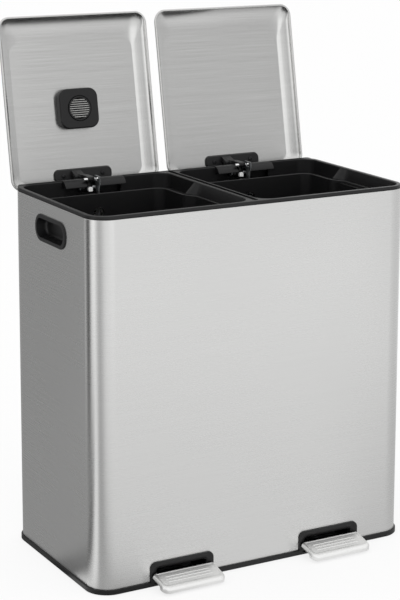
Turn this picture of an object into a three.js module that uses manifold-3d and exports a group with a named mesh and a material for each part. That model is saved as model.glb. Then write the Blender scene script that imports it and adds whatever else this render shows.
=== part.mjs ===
// Double recycling bin: a steel body on a black plinth, two lift-out buckets, two pedals and two lids, shown open.
// Millimetres, +Z up, the front faces -Y. The origin is on the floor, under the middle of the body.

import * as THREE from "three";
import { mergeVertices } from "three/addons/utils/BufferGeometryUtils.js";
import Module from "manifold-3d";

const wasm = await Module();
wasm.setup();

// Steel body
const BODY_WIDTH = 585.8;
const BODY_DEPTH = 317.2;
const BODY_CORNER_RADIUS = 28.3;
const SHELL_HEIGHT = 598;
const SHELL_SHEET = 1;
const SEAM_WIDTH = 12;
const SEAM_THICKNESS = 0.6;

// Plinth and floor
const PLINTH_HEIGHT = 8.2;
const PLINTH_PROUD = 2.7;
const BASE_FLOOR = 2.5;
const BASE_WALL = 2.5;
const BASE_UPSTAND = 32;
const FOOT_PAD_RADIUS = 13;
const FOOT_PAD_THICKNESS = 1.5;
const FOOT_PAD_INSET = 42;
const DECK_TOP = 60;
const DECK_THICKNESS = 3;
const DECK_RIM_GAP = 0.5;
const POST_RADIUS = 7;
const POST_INSET = 26;
const POST_FROM_MIDDLE = 40;

// Top frame
const LIP_RISE = 6.3;
const LIP_WIDTH = 8;
const LIP_EDGE_RADIUS = 2;
const SHADOW_GROOVE = 1.2;
const FRAME_SKIRT = 2.5;
const FRAME_REACH = 22;
const DIVIDER_WIDTH = 17.6;
const DIVIDER_GROOVE_WIDTH = 9;
const DIVIDER_GROOVE_DEPTH = 2.6;
const REAR_LEDGE = 14.6;
const THROAT_RADIUS = 22;

// Buckets
const BUCKET_SPACING = 295;
const BUCKET_FRONT_WIDTH = 267;
const BUCKET_REAR_WIDTH = 240;
const BUCKET_STEP_START = 14;
const BUCKET_STEP_END = 38;
const BUCKET_STEP_ROUNDING = 6;
const BUCKET_BOTTOM_ROUNDING = 5;
const BUCKET_RIM_DROP = 14;
const BUCKET_RIM_WIDTH = 2.4;
const BUCKET_RIM_HEIGHT = 7;
const BUCKET_WALL = 2.2;
const BUCKET_DRAFT = 9;
const BUCKET_RADIUS = 22;
const BUCKET_CLEARANCE = 1.2;
const BAG_HOLE_RADIUS = 10;
const BAG_HOLE_DROP = 34;
const BAG_HOLE_SHIFT = -5;
const REAR_CHANNEL = 41.6;

// Side handle cups
const HANDLE_LENGTH = 114;
const HANDLE_HEIGHT = 45;
const HANDLE_RADIUS = 21;
const HANDLE_FLANGE = 4.5;
const HANDLE_PROUD = 2.2;
const HANDLE_DEPTH = 16;
const HANDLE_WALL = 2;
const HANDLE_DROP = 43.6;

// Lids
const LID_OPEN_DEGREES = 100.5;
const LID_SHEET = 1.2;
const LID_DEPTH = 19.5;
const LID_SIDE_INSET = 5.7;
const LID_FRONT_INSET = 8.1;
const LID_REAR_LEAD = 2.8;
const LID_SPLIT = 16.8;
const LID_REST_GAP = 1.35;
const LID_CORNER_RADIUS = 21;
const LID_PANEL_RADIUS = 20;
const LID_FRONT_CURVE = 44;
const LID_SIDE_CURVE = 23;
const LID_REAR_CURVE = 9;
const HEM_RADIUS = 2.1;

// Hinges
const HINGE_INSET = 12.1;
const HINGE_DROP = 9;
const HINGE_PIN_RADIUS = 3;
const HINGE_GAP_WIDTH = 25.6;
const HINGE_GAP_SHIFT = -16.9;
const HINGE_RECESS_WIDTH = 105.2;
const HINGE_RIB = 5;
const RIDGE_RADIUS = 16.3;
const RIDGE_SWEEP = 0.72 * Math.PI;
const BEAM_THICKNESS = 8.5;
const BRACKET_WIDTH = 107;
const BRACKET_LENGTH = 20.5;
const BRACKET_THICKNESS = 4.5;
const BRACKET_RADIUS = 8;
const BRACKET_FLARE = 1.5;
const BRACKET_SHIFT = 1.2;
const ARM_WIDTH = 11;
const ARM_FROM_GAP_EDGE = 1.4;
const ARM_FLARE = 7;
const ARM_RADIUS = 4.5;
const HUB_RADIUS = 5.6;
const CRANK_RADIUS = 22;
const CRANK_PIN_RADIUS = 2.25;
const CRANK_BOSS = 2.3;
const PIN_HEAD_RADIUS = 2.9;
const PIN_HEAD_LENGTH = 7;
const BUFFER_WIDTH = 8;
const BUFFER_HEIGHT = 8;
const BUFFER_THICKNESS = 4.5;
const BUFFER_REACH = 10.2;
const BUFFER_SHIFT = 3;
const SCREW_SPREAD = 74;
const SCREW_RADIUS = 1.9;
const SCREW_HEAD_RADIUS = 4;
const SCREW_HEAD_HEIGHT = 2.2;

// Air freshener box inside the left lid
const FRESHENER_WIDTH = 72;
const FRESHENER_LENGTH = 69;
const FRESHENER_RADIUS = 16;
const FRESHENER_THICKNESS = 13.7;
const FRESHENER_FROM_HINGE = 136;
const CAP_RADIUS = 21;
const CAP_THICKNESS = 4;
const CAP_SLATS = 9;
const CAP_SLOT = 2.4;
const PUCK_RADIUS = 18.5;
const PUCK_THICKNESS = 7;

// Push rods
const ROD_FROM_GAP_EDGE = 17;
const ROD_THICKNESS = 2;
const ROD_WIDTH = 12;
const ROD_SLOT_PLAY = 1.25;
const ROD_EDGE = 2;
const GUIDE_DROP = 286.2;
const GUIDE_THICKNESS = 12;
const GUIDE_WIDTH = 22;

// Soft-close dampers
const DAMPER_RADIUS = 8;
const DAMPER_LENGTH = 120;
const DAMPER_DROP = 252.2;
const DAMPER_ROD_RADIUS = 2.5;
const DAMPER_ROD_REACH = 72;
const DAMPER_WALL = 2.5;
const DAMPER_SPACING = 17;
const CLIP_HEIGHT = 14;

// Pedals
const PEDAL_INBOARD = 7.5;
const PEDAL_WIDTH = 114;
const PEDAL_LENGTH = 46;
const PEDAL_THICKNESS = 9;
const PEDAL_SKIRT = 5;
const PEDAL_ROLL = 9;
const PEDAL_TILT_DEGREES = 13;
const PEDAL_TOP = 22.5;
const PEDAL_STANDOFF = 5.4;
const PEDAL_CORNER_RADIUS = 12;
const PEDAL_SHEET = 1.6;
const PEDAL_RIBS = 3;
const PEDAL_PIVOT_DEPTH = 63.6;
const PEDAL_PIVOT_HEIGHT = 24;
const LEVER_REAR_HEIGHT = 44.5;
const LEVER_WIDTH = 26;
const LEVER_SHEET = 2.5;
const TONGUE_WIDTH = 60;
const TONGUE_THICKNESS = 4;
const TONGUE_DROP = 9.5;
const AXLE_RADIUS = 3;
const AXLE_RIB = 4;
const LINK_PIN_RADIUS = 2.5;
const NECK_WIDTH = 88;
const NECK_TOP = 17.2;
const NECK_BOTTOM = 8;
const NECK_REAR = 12.6;
const ARCH_WIDTH = 115;
const ARCH_HEIGHT = 39.8;
const ARCH_RADIUS = 10;
const ARCH_DEPTH = 12;
const ARCH_RIM = 3.3;
const ARCH_DISH = 3.5;
const SLOT_WIDTH = 92;
const SLOT_BOTTOM = 3.5;
const SLOT_TOP = 28.2;
const SLOT_RADIUS = 4;

// Clearances
const GAP = 0.3;
const RUNNING_GAP = 0.3;

// Facets
const CORNER_STEPS = 4;
const SMALL_STEPS = 2;
const ROUND_STEPS = 10;
const RIDGE_STEPS = 9;
const CURVE_STEPS = 5;
const LINK_STEPS = 3;
const CAP_STEPS = 24;

// Places that follow from the sizes above
const shellTop = PLINTH_HEIGHT + SHELL_HEIGHT;
const frameTop = shellTop + LIP_RISE;
const frontFace = -BODY_DEPTH / 2;
const rearFace = BODY_DEPTH / 2;
const rearInside = rearFace - SHELL_SHEET;
const bucketRim = shellTop - BUCKET_RIM_DROP;
const bucketBack = rearFace - REAR_CHANNEL;
const bucketFront = frontFace + LIP_WIDTH + BUCKET_CLEARANCE + 0.4;
const hingeY = rearFace - HINGE_INSET;
const hingeZ = shellTop - HINGE_DROP;
const handleZ = shellTop - HANDLE_DROP;
const lidWidth = BODY_WIDTH / 2 - LID_SIDE_INSET - LID_SPLIT / 2;
const lidMiddle = LID_SPLIT / 2 + lidWidth / 2;
const lidSeat = LIP_RISE + LID_REST_GAP + HINGE_DROP;
const lidPanel = lidSeat + LID_DEPTH;
const lidFrontEdge = hingeY - frontFace - LID_FRONT_INSET;
const crankAngle = THREE.MathUtils.degToRad(LID_OPEN_DEGREES / 2);
const crankDrop = CRANK_RADIUS * Math.sin(crankAngle);
const crankReach = CRANK_RADIUS * Math.cos(crankAngle);
const pivotY = frontFace + PEDAL_PIVOT_DEPTH;
const rodSlotRadius = CRANK_PIN_RADIUS + ROD_SLOT_PLAY;
const rodFront = hingeY - CRANK_RADIUS - rodSlotRadius - ROD_EDGE;
const rodRear = hingeY - crankReach + rodSlotRadius + ROD_EDGE;
const rodY = (rodFront + rodRear) / 2;
const collarFront = frontFace - PLINTH_PROUD;
const guideBottom = shellTop - GUIDE_DROP;
const damperBottom = hingeZ - DAMPER_DROP;
const pedalX = (side) => side * (lidMiddle - PEDAL_INBOARD);

const materials = {
  brushedSteel: new THREE.MeshStandardMaterial({ color: 0xc9c9c8, metalness: 1, roughness: 0.38 }),
  satinSteel: new THREE.MeshStandardMaterial({ color: 0xd6d6d5, metalness: 1, roughness: 0.3 }),
  zincSteel: new THREE.MeshStandardMaterial({ color: 0xb9bcbd, metalness: 1, roughness: 0.42 }),
  brightPin: new THREE.MeshStandardMaterial({ color: 0xe6e6e6, metalness: 1, roughness: 0.2 }),
  whiteNylon: new THREE.MeshStandardMaterial({ color: 0xf0f0ee, metalness: 0, roughness: 0.45 }),
  blackPlastic: new THREE.MeshStandardMaterial({ color: 0x232324, metalness: 0, roughness: 0.5 }),
  bucketPlastic: new THREE.MeshStandardMaterial({ color: 0x1b1b1c, metalness: 0, roughness: 0.55 }),
  footRubber: new THREE.MeshStandardMaterial({ color: 0x161616, metalness: 0, roughness: 0.9 }),
  charcoal: new THREE.MeshStandardMaterial({ color: 0x101010, metalness: 0, roughness: 1 }),
};

// ---- Solids and outlines ----

// A closed geometry as a solid that can be joined and cut.
function solidOf(geometry) {
  const bare = geometry.clone();
  for (const extra of ["normal", "uv"]) bare.deleteAttribute(extra);
  const merged = mergeVertices(bare, 1e-4);
  return new wasm.Manifold(
    new wasm.Mesh({
      numProp: 3,
      vertProperties: merged.attributes.position.array,
      triVerts: new Uint32Array(merged.index.array),
    }),
  );
}

function geometryOf(solid) {
  const { vertProperties, triVerts, numProp, numVert } = solid.getMesh();
  const positions = new Float32Array(numVert * 3);
  for (let i = 0; i < numVert; i++) {
    positions.set(vertProperties.subarray(i * numProp, i * numProp + 3), i * 3);
  }
  const geometry = new THREE.BufferGeometry();
  geometry.setAttribute("position", new THREE.BufferAttribute(positions, 3));
  geometry.setIndex(new THREE.BufferAttribute(triVerts, 1));
  geometry.computeVertexNormals();
  return geometry;
}

const join = (first, ...others) => others.reduce((sum, solid) => sum.add(solid), first);
const cut = (first, ...tools) => tools.reduce((left, tool) => left.subtract(tool), first);

// A closed loop round the given corners { x, y, r, steps }. Each is rounded by an arc that starts r before the corner.
function filletedLoop(corners, z = 0, steps = CORNER_STEPS) {
  const loop = [];
  corners.forEach((corner, i) => {
    const here = new THREE.Vector2(corner.x, corner.y);
    const last = corners[(i + corners.length - 1) % corners.length];
    const next = corners[(i + 1) % corners.length];
    const back = new THREE.Vector2(last.x, last.y).sub(here).normalize();
    const ahead = new THREE.Vector2(next.x, next.y).sub(here).normalize();
    const turn = Math.PI - Math.acos(THREE.MathUtils.clamp(back.dot(ahead), -1, 1));
    const start = here.clone().addScaledVector(back, corner.r);
    const end = here.clone().addScaledVector(ahead, corner.r);
    const weight = Math.cos(turn / 2);
    const facets = corner.steps ?? steps;
    for (let k = 0; k <= facets; k++) {
      const t = k / facets;
      const a = (1 - t) ** 2;
      const b = 2 * weight * t * (1 - t);
      const c = t ** 2;
      const point = start.clone().multiplyScalar(a).addScaledVector(here, b).addScaledVector(end, c);
      point.divideScalar(a + b + c);
      loop.push(new THREE.Vector3(point.x, point.y, z));
    }
  });
  return loop;
}

function boxLoop({ x0, x1, y0, y1 }, radius, z, steps = CORNER_STEPS) {
  const r = Math.max(Math.min(radius, (x1 - x0) / 2 - 0.1, (y1 - y0) / 2 - 0.1), 0.1);
  const corners = [
    { x: x0, y: y0, r },
    { x: x1, y: y0, r },
    { x: x1, y: y1, r },
    { x: x0, y: y1, r },
  ];
  return filletedLoop(corners, z, steps);
}

// The body's plan outline, moved in from the steel's outer face.
function bodyLoop(inset, z) {
  const box = {
    x0: -BODY_WIDTH / 2 + inset,
    x1: BODY_WIDTH / 2 - inset,
    y0: frontFace + inset,
    y1: rearFace - inset,
  };
  return boxLoop(box, BODY_CORNER_RADIUS - inset, z);
}

// A skin over loops of equally many points, closed at its first and last loop by fans from their middles.
function loft(loops) {
  const count = loops[0].length;
  const positions = loops.flat().flatMap((p) => [p.x, p.y, p.z]);
  const index = [];
  for (let i = 0; i + 1 < loops.length; i++) {
    for (let j = 0; j < count; j++) {
      const a = i * count + j;
      const b = i * count + ((j + 1) % count);
      index.push(a, b, b + count, a, b + count, a + count);
    }
  }
  const addFan = (loop, first, facesUp) => {
    const middle = loop.reduce((sum, p) => sum.add(p), new THREE.Vector3()).divideScalar(count);
    const centre = positions.length / 3;
    positions.push(middle.x, middle.y, middle.z);
    for (let j = 0; j < count; j++) {
      const a = first + j;
      const b = first + ((j + 1) % count);
      index.push(centre, facesUp ? a : b, facesUp ? b : a);
    }
  };
  addFan(loops[0], 0, false);
  addFan(loops[loops.length - 1], (loops.length - 1) * count, true);
  const geometry = new THREE.BufferGeometry();
  geometry.setAttribute("position", new THREE.Float32BufferAttribute(positions, 3));
  geometry.setIndex(index);
  return solidOf(geometry);
}

const box = (x0, x1, y0, y1, z0, z1) =>
  solidOf(
    new THREE.BoxGeometry(x1 - x0, y1 - y0, z1 - z0).translate((x0 + x1) / 2, (y0 + y1) / 2, (z0 + z1) / 2),
  );

// An outline in (y, z), carried along X from x0 to x1.
function alongX(outline, x0, x1) {
  const shape = new THREE.Shape(outline.map((p) => new THREE.Vector2(p.x, p.y)));
  const geometry = new THREE.ExtrudeGeometry(shape, { depth: x1 - x0, bevelEnabled: false });
  const turn = new THREE.Matrix4().makeBasis(
    new THREE.Vector3(0, 1, 0),
    new THREE.Vector3(0, 0, 1),
    new THREE.Vector3(1, 0, 0),
  );
  return solidOf(geometry.applyMatrix4(turn).translate(x0, 0, 0));
}

// An outline in (x, z), carried along Y from y0 to y1.
function alongY(outline, y0, y1) {
  const shape = new THREE.Shape(outline.map((p) => new THREE.Vector2(p.x, p.y)));
  const geometry = new THREE.ExtrudeGeometry(shape, { depth: y1 - y0, bevelEnabled: false });
  return solidOf(geometry.rotateX(Math.PI / 2).translate(0, y1, 0));
}

function pinAlongX(radius, x0, x1, y, z, steps = ROUND_STEPS) {
  const geometry = new THREE.CylinderGeometry(radius, radius, x1 - x0, steps);
  return solidOf(geometry.rotateZ(Math.PI / 2).translate((x0 + x1) / 2, y, z));
}

function pinAlongZ(radius, x, y, z0, z1, steps = ROUND_STEPS) {
  const geometry = new THREE.CylinderGeometry(radius, radius, z1 - z0, steps);
  return solidOf(geometry.rotateX(Math.PI / 2).translate(x, y, (z0 + z1) / 2));
}

// The outline round two circles: a link with round ends, which may taper.
function linkOutline(from, to, fromRadius, toRadius, steps = LINK_STEPS) {
  const span = Math.hypot(to.x - from.x, to.y - from.y);
  const heading = Math.atan2(to.y - from.y, to.x - from.x);
  const lean = Math.acos(THREE.MathUtils.clamp((fromRadius - toRadius) / span, -1, 1));
  const points = [];
  for (let i = 0; i <= steps; i++) {
    const angle = heading + lean + ((2 * Math.PI - 2 * lean) * i) / steps;
    points.push(new THREE.Vector2(from.x + fromRadius * Math.cos(angle), from.y + fromRadius * Math.sin(angle)));
  }
  for (let i = 0; i <= steps; i++) {
    const angle = heading - lean + (2 * lean * i) / steps;
    points.push(new THREE.Vector2(to.x + toRadius * Math.cos(angle), to.y + toRadius * Math.sin(angle)));
  }
  return points;
}

// A closed link shape along X through the given stations { x, y, r } of the (y, z) plane.
const chainAlongX = (stations, x0, x1) =>
  join(
    ...stations.slice(1).map((to, i) => alongX(linkOutline(stations[i], to, stations[i].r, to.r), x0, x1)),
  );

// ---- Body ----

// The pedal collar's outline seen from the front, grown by a clearance. It stands on the floor of the base.
function archOutline(side, grow, bottom) {
  const x = pedalX(side);
  const half = ARCH_WIDTH / 2 + grow;
  const r = ARCH_RADIUS + grow;
  const corners = [
    { x: x - half, y: bottom, r: 0.1, steps: 1 },
    { x: x + half, y: bottom, r: 0.1, steps: 1 },
    { x: x + half, y: ARCH_HEIGHT + grow, r },
    { x: x - half, y: ARCH_HEIGHT + grow, r },
  ];
  return filletedLoop(corners);
}

// A flat loop in (x, y) stood upright at the given depth.
const upright = (loop, y) => loop.map((p) => new THREE.Vector3(p.x, y, p.y));

// The collar's face is dished: it slopes in from a narrow rim to the slot that the pedal's neck moves in.
function makeDish(side) {
  const x = pedalX(side);
  const half = ARCH_WIDTH / 2 - ARCH_RIM;
  const wide = { x0: x - half, x1: x + half, y0: -SLOT_RADIUS, y1: ARCH_HEIGHT - ARCH_RIM };
  const narrow = { x0: x - SLOT_WIDTH / 2, x1: x + SLOT_WIDTH / 2, y0: SLOT_BOTTOM, y1: SLOT_TOP };
  const face = boxLoop(wide, ARCH_RADIUS - ARCH_RIM, 0);
  const slot = boxLoop(narrow, SLOT_RADIUS, 0);
  const bottom = boxLoop({ ...wide, y0: SLOT_BOTTOM }, ARCH_RADIUS - ARCH_RIM, 0);
  const floor = box(-BODY_WIDTH, BODY_WIDTH, -BODY_DEPTH, 0, -SLOT_TOP, SLOT_BOTTOM);
  const walls = loft([upright(slot, collarFront + ARCH_DISH), upright(bottom, collarFront), upright(face, collarFront - 1)]);
  return cut(walls, floor);
}

function handleLoop(inset, z) {
  const half = { x: HANDLE_LENGTH / 2 - inset, y: HANDLE_HEIGHT / 2 - inset };
  return boxLoop({ x0: -half.x, x1: half.x, y0: -half.y, y1: half.y }, HANDLE_RADIUS - inset, z);
}

// Turns a shape drawn flat into one on the body's side: its +Z points outwards, its X runs along the side.
function onSide(solid, side) {
  const outward = new THREE.Vector3(side, 0, 0);
  const along = new THREE.Vector3(0, side, 0);
  const up = new THREE.Vector3(0, 0, 1);
  const matrix = new THREE.Matrix4().makeBasis(along, up, outward);
  matrix.setPosition((side * BODY_WIDTH) / 2, 0, handleZ);
  return solid.transform(matrix.elements);
}

function makeShell() {
  const outside = loft([bodyLoop(0, PLINTH_HEIGHT), bodyLoop(0, shellTop)]);
  const inside = loft([bodyLoop(SHELL_SHEET, PLINTH_HEIGHT - 1), bodyLoop(SHELL_SHEET, shellTop + 1)]);
  const seamBack = rearFace + SEAM_THICKNESS;
  const seam = box(-SEAM_WIDTH / 2, SEAM_WIDTH / 2, rearFace - SHELL_SHEET / 2, seamBack, PLINTH_HEIGHT, shellTop);
  const wrap = cut(join(outside, seam), inside);
  const cutFlat = loft([handleLoop(HANDLE_FLANGE - GAP, -BODY_CORNER_RADIUS), handleLoop(HANDLE_FLANGE - GAP, 5)]);
  const openings = [-1, 1].flatMap((side) => [
    onSide(cutFlat, side),
    alongY(archOutline(side, GAP, PLINTH_HEIGHT - 1), collarFront, frontFace + BODY_CORNER_RADIUS),
  ]);
  return cut(wrap, ...openings);
}

function makeHandleCup(side) {
  const mouth = HANDLE_FLANGE + HANDLE_WALL;
  const flat = loft([
    handleLoop(HANDLE_FLANGE + 2, -HANDLE_DEPTH - HANDLE_WALL),
    handleLoop(HANDLE_FLANGE, -HANDLE_DEPTH + 2),
    handleLoop(HANDLE_FLANGE, 0.1),
    handleLoop(0, 0.1),
    handleLoop(0, HANDLE_PROUD - 1),
    handleLoop(1, HANDLE_PROUD),
    handleLoop(mouth - 1, HANDLE_PROUD),
    handleLoop(mouth, HANDLE_PROUD - 1),
    handleLoop(mouth, -HANDLE_DEPTH + 4),
    handleLoop(mouth + 4, -HANDLE_DEPTH),
  ]);
  return onSide(flat, side);
}

function makeBase() {
  const plinthInset = -PLINTH_PROUD;
  const wallInset = SHELL_SHEET + GAP;
  const upstandTop = PLINTH_HEIGHT + BASE_UPSTAND;
  const outside = loft([
    bodyLoop(plinthInset + 0.8, 0),
    bodyLoop(plinthInset, 0.8),
    bodyLoop(plinthInset, PLINTH_HEIGHT - 0.8),
    bodyLoop(plinthInset + 0.8, PLINTH_HEIGHT),
    bodyLoop(wallInset, PLINTH_HEIGHT),
    bodyLoop(wallInset, upstandTop),
  ]);
  const hollow = loft([bodyLoop(wallInset + BASE_WALL, BASE_FLOOR), bodyLoop(wallInset + BASE_WALL, upstandTop + 1)]);
  const posts = postPlaces().map(([x, y]) => pinAlongZ(POST_RADIUS, x, y, BASE_FLOOR - 1, DECK_TOP - DECK_THICKNESS));
  const pads = footPlaces().map(([x, y]) => pinAlongZ(FOOT_PAD_RADIUS + GAP, x, y, -1, FOOT_PAD_THICKNESS));
  const collars = [-1, 1].map((side) => alongY(archOutline(side, 0, 1), collarFront, collarFront + ARCH_DEPTH));
  const dishes = [-1, 1].map(makeDish);
  const slots = [-1, 1].map((side) => {
    const x = pedalX(side);
    const edges = { x0: x - SLOT_WIDTH / 2, x1: x + SLOT_WIDTH / 2, y0: SLOT_BOTTOM, y1: SLOT_TOP };
    return alongY(boxLoop(edges, SLOT_RADIUS, 0), collarFront - 5, collarFront + ARCH_DEPTH + 5);
  });
  const ribs = [-1, 1].flatMap((side) =>
    [-1, 1].map((end) => {
      const inner = leverX(side) + end * (LEVER_WIDTH / 2 + RUNNING_GAP * 2);
      const outer = inner + end * AXLE_RIB;
      const foot = { x: pivotY, y: BASE_FLOOR };
      const top = { x: pivotY, y: PEDAL_PIVOT_HEIGHT };
      const outline = linkOutline(foot, top, AXLE_RADIUS * 4, AXLE_RADIUS * 2.4);
      const rib = alongX(outline, Math.min(inner, outer), Math.max(inner, outer));
      return cut(rib, box(-BODY_WIDTH, BODY_WIDTH, frontFace, rearFace, -50, BASE_FLOOR - 1));
    }),
  );
  const axles = [-1, 1].map((side) =>
    pinAlongX(AXLE_RADIUS + GAP / 2, leverX(side) - LEVER_WIDTH, leverX(side) + LEVER_WIDTH, pivotY, PEDAL_PIVOT_HEIGHT),
  );
  return cut(join(cut(outside, hollow), ...posts, ...collars, ...ribs), ...dishes, ...slots, ...pads, ...axles);
}

function postPlaces() {
  const x = BODY_WIDTH / 2 - POST_INSET;
  const y = BODY_DEPTH / 2 - POST_INSET;
  const rear = bucketBack - POST_RADIUS * 3;
  return [-x, -POST_FROM_MIDDLE, POST_FROM_MIDDLE, x].flatMap((across) => [
    [across, -y],
    [across, rear],
  ]);
}

function footPlaces() {
  const x = BODY_WIDTH / 2 - FOOT_PAD_INSET;
  const y = BODY_DEPTH / 2 - FOOT_PAD_INSET;
  return [
    [-x, -y],
    [x, -y],
    [x, y],
    [-x, y],
  ];
}

function makeDeck() {
  const inset = SHELL_SHEET + DECK_RIM_GAP;
  const edges = {
    x0: -BODY_WIDTH / 2 + inset,
    x1: BODY_WIDTH / 2 - inset,
    y0: frontFace + inset,
    y1: bucketBack - BUCKET_CLEARANCE,
  };
  const radius = BODY_CORNER_RADIUS - inset;
  return loft([boxLoop(edges, radius, DECK_TOP - DECK_THICKNESS), boxLoop(edges, radius, DECK_TOP)]);
}

// ---- Buckets ----

// The plan outline of a bucket or of the frame round it: wider in front than behind, with a step in both sides.
function compartmentLoop({ middle, front, rear, frontWidth, rearWidth, radius }, z) {
  const step = BUCKET_STEP_ROUNDING;
  const corners = [
    { x: middle - frontWidth / 2, y: front, r: radius },
    { x: middle + frontWidth / 2, y: front, r: radius },
    { x: middle + frontWidth / 2, y: BUCKET_STEP_START, r: step, steps: SMALL_STEPS },
    { x: middle + rearWidth / 2, y: BUCKET_STEP_END, r: step, steps: SMALL_STEPS },
    { x: middle + rearWidth / 2, y: rear, r: radius },
    { x: middle - rearWidth / 2, y: rear, r: radius },
    { x: middle - rearWidth / 2, y: BUCKET_STEP_END, r: step, steps: SMALL_STEPS },
    { x: middle - frontWidth / 2, y: BUCKET_STEP_START, r: step, steps: SMALL_STEPS },
  ];
  return filletedLoop(corners, z);
}

function bucketLoop(side, inset, z) {
  const outline = {
    middle: (side * BUCKET_SPACING) / 2,
    front: bucketFront + inset,
    rear: bucketBack - inset,
    frontWidth: BUCKET_FRONT_WIDTH - 2 * inset,
    rearWidth: BUCKET_REAR_WIDTH - 2 * inset,
    radius: BUCKET_RADIUS - inset,
  };
  return compartmentLoop(outline, z);
}

// The hollow that keeps a bucket's outer side clear of the handle cup, all the way down, so that it lifts out.
function reliefBlock(side, wall) {
  const cupBack = BODY_WIDTH / 2 - HANDLE_DEPTH - HANDLE_WALL - BUCKET_CLEARANCE;
  const half = HANDLE_LENGTH / 2 + BUCKET_CLEARANCE + wall;
  const x = side * (cupBack - wall);
  const edges = { x0: Math.min(x, side * BODY_WIDTH), x1: Math.max(x, side * BODY_WIDTH), y0: -half, y1: half };
  const top = bucketRim - BUCKET_RIM_HEIGHT + wall;
  return loft([boxLoop(edges, 4 + wall, DECK_TOP - 5), boxLoop(edges, 4 + wall, top)]);
}

function makeBucket(side) {
  const bottom = DECK_TOP;
  const rimFoot = bucketRim - BUCKET_RIM_HEIGHT;
  const inner = BUCKET_RIM_WIDTH + BUCKET_WALL;
  const outside = loft([
    bucketLoop(side, BUCKET_DRAFT + BUCKET_BOTTOM_ROUNDING, bottom),
    bucketLoop(side, BUCKET_DRAFT + 0.3 * BUCKET_BOTTOM_ROUNDING, bottom + 0.3 * BUCKET_BOTTOM_ROUNDING),
    bucketLoop(side, BUCKET_DRAFT, bottom + BUCKET_BOTTOM_ROUNDING),
    bucketLoop(side, BUCKET_RIM_WIDTH, rimFoot),
    bucketLoop(side, 0, rimFoot),
    bucketLoop(side, 0, bucketRim - 1),
    bucketLoop(side, 1, bucketRim),
  ]);
  const inside = loft([
    bucketLoop(side, BUCKET_DRAFT + BUCKET_WALL + 4, bottom + BUCKET_WALL),
    bucketLoop(side, BUCKET_DRAFT + BUCKET_WALL, bottom + BUCKET_WALL + 4),
    bucketLoop(side, inner, rimFoot),
    bucketLoop(side, inner - 1, bucketRim),
    bucketLoop(side, inner - 1, bucketRim + 1),
  ]);
  const bagHoleX = (side * BUCKET_SPACING) / 2 + BAG_HOLE_SHIFT;
  const bagHole = solidOf(
    new THREE.CylinderGeometry(BAG_HOLE_RADIUS, BAG_HOLE_RADIUS, REAR_CHANNEL, ROUND_STEPS).translate(
      bagHoleX,
      bucketBack,
      bucketRim - BAG_HOLE_DROP,
    ),
  );
  return cut(cut(outside, reliefBlock(side, 0)), cut(inside, reliefBlock(side, BUCKET_WALL)), bagHole);
}

// ---- Top frame ----

const hingeGap = (side) => {
  const left = side * lidMiddle + HINGE_GAP_SHIFT;
  return { left, right: left + HINGE_GAP_WIDTH };
};

const rodX = (side) => hingeGap(side).left + ROD_FROM_GAP_EDGE + ROD_THICKNESS / 2;
const leverX = (side) => rodX(side);

function throatLoop(side, grow, z) {
  const x0 = DIVIDER_WIDTH / 2 - grow;
  const x1 = BODY_WIDTH / 2 - LIP_WIDTH + grow;
  const outline = {
    middle: (side * (x0 + x1)) / 2,
    front: frontFace + LIP_WIDTH - grow,
    rear: rearFace - REAR_LEDGE + grow,
    frontWidth: x1 - x0,
    rearWidth: x1 - x0,
    radius: THROAT_RADIUS + grow,
  };
  return compartmentLoop(outline, z);
}

function throat(side, bottom) {
  return loft([
    bucketLoop(side, -BUCKET_CLEARANCE, bottom),
    bucketLoop(side, -BUCKET_CLEARANCE, bucketRim + 1),
    throatLoop(side, 0, frameTop - LIP_EDGE_RADIUS),
    throatLoop(side, LIP_EDGE_RADIUS * 0.3, frameTop - LIP_EDGE_RADIUS * 0.3),
    throatLoop(side, LIP_EDGE_RADIUS, frameTop),
    throatLoop(side, LIP_EDGE_RADIUS, frameTop + RIDGE_RADIUS),
  ]);
}

// The rounded ridge over the hinges: the lids' rear edges swing round it.
function ridgeOutline() {
  const points = [];
  for (let i = 0; i <= RIDGE_STEPS; i++) {
    const angle = RIDGE_SWEEP * (1 - i / RIDGE_STEPS);
    points.push(new THREE.Vector2(hingeY + RIDGE_RADIUS * Math.cos(angle), hingeZ + RIDGE_RADIUS * Math.sin(angle)));
  }
  return points;
}

function makeHingeHousing(side) {
  const gap = hingeGap(side);
  const skirtInside = rearInside - GAP - FRAME_SKIRT;
  const bottom = shellTop - FRAME_REACH;
  const beamBottom = hingeZ + RIDGE_RADIUS - BEAM_THICKNESS;
  const middle = side * lidMiddle;
  const recessEdge = HINGE_RECESS_WIDTH / 2;
  const recess = box(middle - recessEdge, middle + recessEdge, bucketBack, skirtInside, bottom - 1, beamBottom);
  const slot = join(
    box(gap.left, gap.right, bucketBack, skirtInside, bottom - 1, frameTop + RIDGE_RADIUS),
    box(gap.left, gap.right, skirtInside - 1, rearFace + 5, shellTop - 1, frameTop + RIDGE_RADIUS),
  );
  const ribShape = (x0, x1) =>
    join(
      alongX(linkOutline({ x: hingeY, y: hingeZ }, { x: hingeY, y: beamBottom }, HINGE_PIN_RADIUS * 2, 8), x0, x1),
      box(x0, x1, hingeY, skirtInside + 1, hingeZ - HINGE_PIN_RADIUS * 2, beamBottom + 1),
    );
  const ribs = [ribShape(gap.left - HINGE_RIB, gap.left), ribShape(gap.right, gap.right + HINGE_RIB)];
  const bore = pinAlongX(
    HINGE_PIN_RADIUS + GAP / 2,
    gap.left - HINGE_RIB - 5,
    gap.right + HINGE_RIB + 5,
    hingeY,
    hingeZ,
  );
  return { cuts: [recess, slot], ribs, bore };
}

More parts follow.
